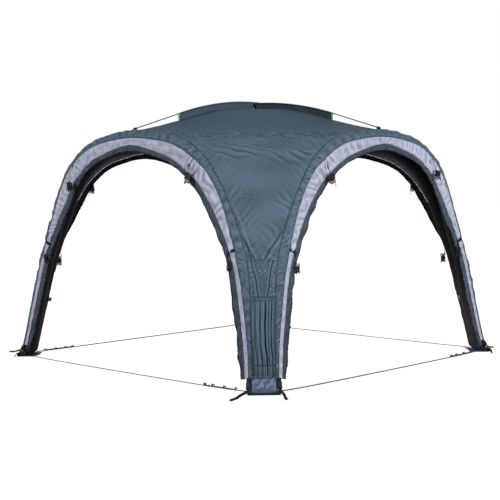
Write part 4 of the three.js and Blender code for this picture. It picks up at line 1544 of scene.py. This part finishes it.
def valve(side):
    base = place(round_beam(0.82, 215.0, BEAM_R - 0.001), side)
    tip = place(round_beam(0.82, 215.0, BEAM_R + 0.03), side)
    axis = unit(tip - base)
    flange = turned_body("flange", FLANGE, base, axis, valve_dark)
    cap = turned_body("cap", CAP, base, axis, valve_plastic)
    ribs = grip_ribs(base + axis * 0.0205, axis, 0.0192, 0.0105)
    level = np.cross(axis, UP)
    axes = (unit(level), unit(np.cross(level, axis)), axis)
    grip = rounded_block("grip", base + axis * 0.0292, axes, (0.0085, 0.0016, 0.0022), valve_plastic, 0.0007, 2)
    whole = join(f"screw_valve_{side + 1}", [cap, flange, ribs, grip])
    keep(whole, "valve", f"valve_{side + 1}")


for side in range(4):
    valve(side)


# Guy lines, wound and tied


def wound_line(anchor, hank, side, seed, turns, tail):
    """A thin cord from its anchor to a tied hank: long turns side by side, four wraps and a free end."""
    rng = np.random.default_rng(seed)
    anchor, hank = np.asarray(anchor, float), np.asarray(hank, float)
    d, wraps = 0.0040, 4
    tall, bend = 0.042, 0.0200
    way, yaw = rng.uniform(0, ROUND), (-0.85 if side % 2 else 0.85) + rng.uniform(-0.2, 0.2)
    ahead = np.array([math.sin(yaw), math.cos(yaw), 0])
    beside = np.array([math.cos(yaw), -math.sin(yaw), 0])
    pitch = d * 1.10

    def turn_point(a):
        """Point of the hank after turning so far; its ends fan apart."""
        place_in = a / (turns * 2 * math.pi) - 0.5
        upright = math.cos(a)
        z = bend * upright + tall / 2 * (1 if upright > 0.01 else (-1 if upright < -0.01 else 0))
        z *= 1 + 0.14 * math.sin(9.0 * place_in + way) - 0.10 * place_in
        close = 0.82 + 0.18 * math.sin(2.1 * a / ROUND + way)
        spread = 1 + 0.30 * abs(z) / 0.04
        round_by = ahead * bend * close * math.sin(a) + UP * z * (1 - 0.12 * abs(place_in))
        return hank + round_by + beside * pitch * turns * place_in * spread

    first = turn_point(math.pi / 2)
    knots = [anchor, anchor + np.array([0.001, 0.008, -0.008])]
    start = first + UP * min(0.058, anchor[2] - first[2] - 0.012)
    drop = start - knots[-1]
    for t in (0.3, 0.6, 0.85):
        sway = 0.004 * math.sin(6.2 * t + seed)
        knots.append(knots[1] + drop * t + np.array([sway, 0.002 * math.sin(9 * t + seed), 0]))
    knots.append(start)
    for i in range(2, turns * 8 + 1):
        knots.append(turn_point(i / 8 * 2 * math.pi))
    half = pitch * turns / 2 + d * 1.1
    wide = bend + d * 0.9
    knots.append(hank + ahead * 0.013 + UP * 0.027 + beside * (half + 0.001))
    for i in range(wraps * 8 + 1):
        a = i / 8 * 2 * math.pi + math.pi / 2
        knots.append(hank + ahead * wide * math.cos(a) + beside * half * math.sin(a) + UP * (0.010 - d * 1.1 * i / 8))
    low = 0.010 - d * 1.1 * wraps
    for across, down in ((-0.010, 0.003), (-0.0165, 0.012), (-0.018, 0.024)):
        knots.append(hank + ahead * across + beside * (half + 0.002) + UP * (low - down))
    turn = rng.uniform(-0.012, 0.012)
    for share in (0.5, 0.75, 1.0):
        down = low - 0.024 - (tail - 0.024) * share
        knots.append(hank + ahead * (-0.018 + 0.006 * share) + beside * (half + turn * share) + UP * down)
    return place(smooth_path(knots, 0.0040), side), d


def slider(path, share):
    """Small plastic tensioner that the lead of a guy line is threaded through."""
    i = max(int(len(path) * share), 3)
    middle, run = path[i], unit(path[i + 2] - path[i - 2])
    out = unit(middle * (1, 1, 0))
    wide = unit(np.cross(run, out))
    turns = np.linspace(0, 2 * math.pi, 29)[:, None]
    ring = middle + wide * 0.0072 * np.cos(turns) + run * 0.0145 * np.sin(turns) + out * 0.003
    parts = [cord_piece("ring", ring, 0.0021, clip_plastic, 8)]
    for off in (-0.006, 0.004):
        ends = np.array([wide * -0.0070, wide * 0, wide * 0.0070]) + middle + run * off + out * 0.003
        parts.append(cord_piece("bar", ends, 0.0019, clip_plastic, 8))
    return join("slider", parts)


def guy_line(name, anchor, hank, side, seed, turns, tail, node=None):
    path, d = wound_line(anchor, hank, side, seed, turns, tail)
    line = cord_piece(name, path, d / 2, guy_braid, 5)
    keep(line, "cord", *([node] if node else []))
    ring = slider(path, 0.03 if tail > 0.055 else 0.05)
    ring.name = name.replace("line", "slider")
    keep(ring, "cord")
    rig.cord(line, exit=path[0], length=round(path_length(path), 3), diameter=d, far_end="bare",
            stiffness="limp", lay="hanging", path=path, with_pieces=[ring])


# Anchor and bundle of each line: along the side, outward, height
HIGH_LINES = [
    ((-0.716, 1.531, 1.830), (-0.789, 1.562, 1.586)), ((0.775, 1.527, 1.806), (0.742, 1.562, 1.644)),
    ((-0.790, 1.527, 1.796), (-0.747, 1.562, 1.633)), ((0.675, 1.531, 1.862), (0.749, 1.562, 1.669)),
    ((-0.735, 1.530, 1.822), (-0.723, 1.562, 1.560)), ((0.760, 1.529, 1.812), (0.741, 1.562, 1.600)),
    ((-0.720, 1.531, 1.830), (-0.760, 1.562, 1.610)), ((0.720, 1.531, 1.832), (0.691, 1.562, 1.560)),
]
LOW_LINES = [(-1.190, 0.930), (1.176, 0.955), (-1.146, 0.935), (1.136, 0.960),
             (-1.105, 0.870), (1.140, 0.900), (-1.150, 0.905), (1.130, 0.870)]
for side in range(4):
    for i, sign in ((0, -1), (1, 1)):
        anchor, hank = HIGH_LINES[2 * side + i]
        node = f"tied_line_{side + 1}_{i + 1}" if side < 2 else None
        guy_line(f"guy_line_{side + 1}_{i + 1}", anchor, hank, side, 700 + 10 * side + i, 9, 0.062, node)
        s, z = LOW_LINES[2 * side + i]
        tab = at_beam(np.array(sign * KEEPER), VALANCE_OUT, -0.070) + (sign * 0.006, 0.008, -0.044)
        guy_line(f"low_line_{side + 1}_{i + 1}", tab, (s, tab[1] + 0.010, z), side, 800 + 10 * side + i, 8, 0.05)


# Floor and light


def set_stage():
    mesh = bpy.data.meshes.new("floor")
    size = 60
    mesh.from_pydata([(-size, -size, 0), (size, -size, 0), (size, size, 0), (-size, size, 0)], [], [(0, 1, 2, 3)])
    floor = bpy.data.objects.new("floor", mesh)
    bpy.context.scene.collection.objects.link(floor)
    p = Paint("pale floor")
    seen = p.add("ShaderNodeLightPath").out("Is Camera Ray")
    p.put(p.surface.inputs["Emission Color"], p.mix(seen, (0, 0, 0, 1), (0.92, 0.92, 0.92, 1)))
    mesh.materials.append(p.finish((0.34, 0.34, 0.345, 1), 0.8, Specular_IOR_Level=0.0, Emission_Strength=1.0))
    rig.stage(floor)
    world = bpy.data.worlds.new("soft studio")
    world.use_nodes = True
    tree = world.node_tree
    shine = tree.nodes["Background"]
    way = tree.nodes.new("ShaderNodeLightPath")
    mix = tree.nodes.new("ShaderNodeMix")
    mix.data_type = "RGBA"
    tree.links.new(way.outputs["Is Camera Ray"], mix.inputs[0])
    mix.inputs[6].default_value = (0.22, 0.23, 0.25, 1)
    mix.inputs[7].default_value = (1.0, 1.0, 1.0, 1)
    tree.links.new(mix.outputs[2], shine.inputs[0])
    shine.inputs[1].default_value = 1.0
    bpy.context.scene.world = world
    bpy.context.scene.view_settings.view_transform = "Standard"
    for name, turn, climb, strength, soft in (("left sun", -60, 20, 2.0, 5), ("right sun", 48, 9, 2.6, 5),
                                              ("back fill", 170, 24, 0.7, 40)):
        data = bpy.data.lights.new(name, "SUN")
        data.energy = strength
        data.angle = math.radians(soft)
        lamp = bpy.data.objects.new(name, data)
        lamp.visible_glossy = name != "back fill"
        bpy.context.scene.collection.objects.link(lamp)
        around, up = math.radians(turn - 45), math.radians(climb)
        source = Vector((math.cos(around) * math.cos(up), math.sin(around) * math.cos(up), math.sin(up)))
        lamp.matrix_world = source.to_track_quat("Z", "Y").to_matrix().to_4x4()


set_stage()

json.dump({"cad": [list(map(float, p)) for p in CAD_BOX], "visual": [list(map(float, p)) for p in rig.bounds()]},
          open("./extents.json", "w"))
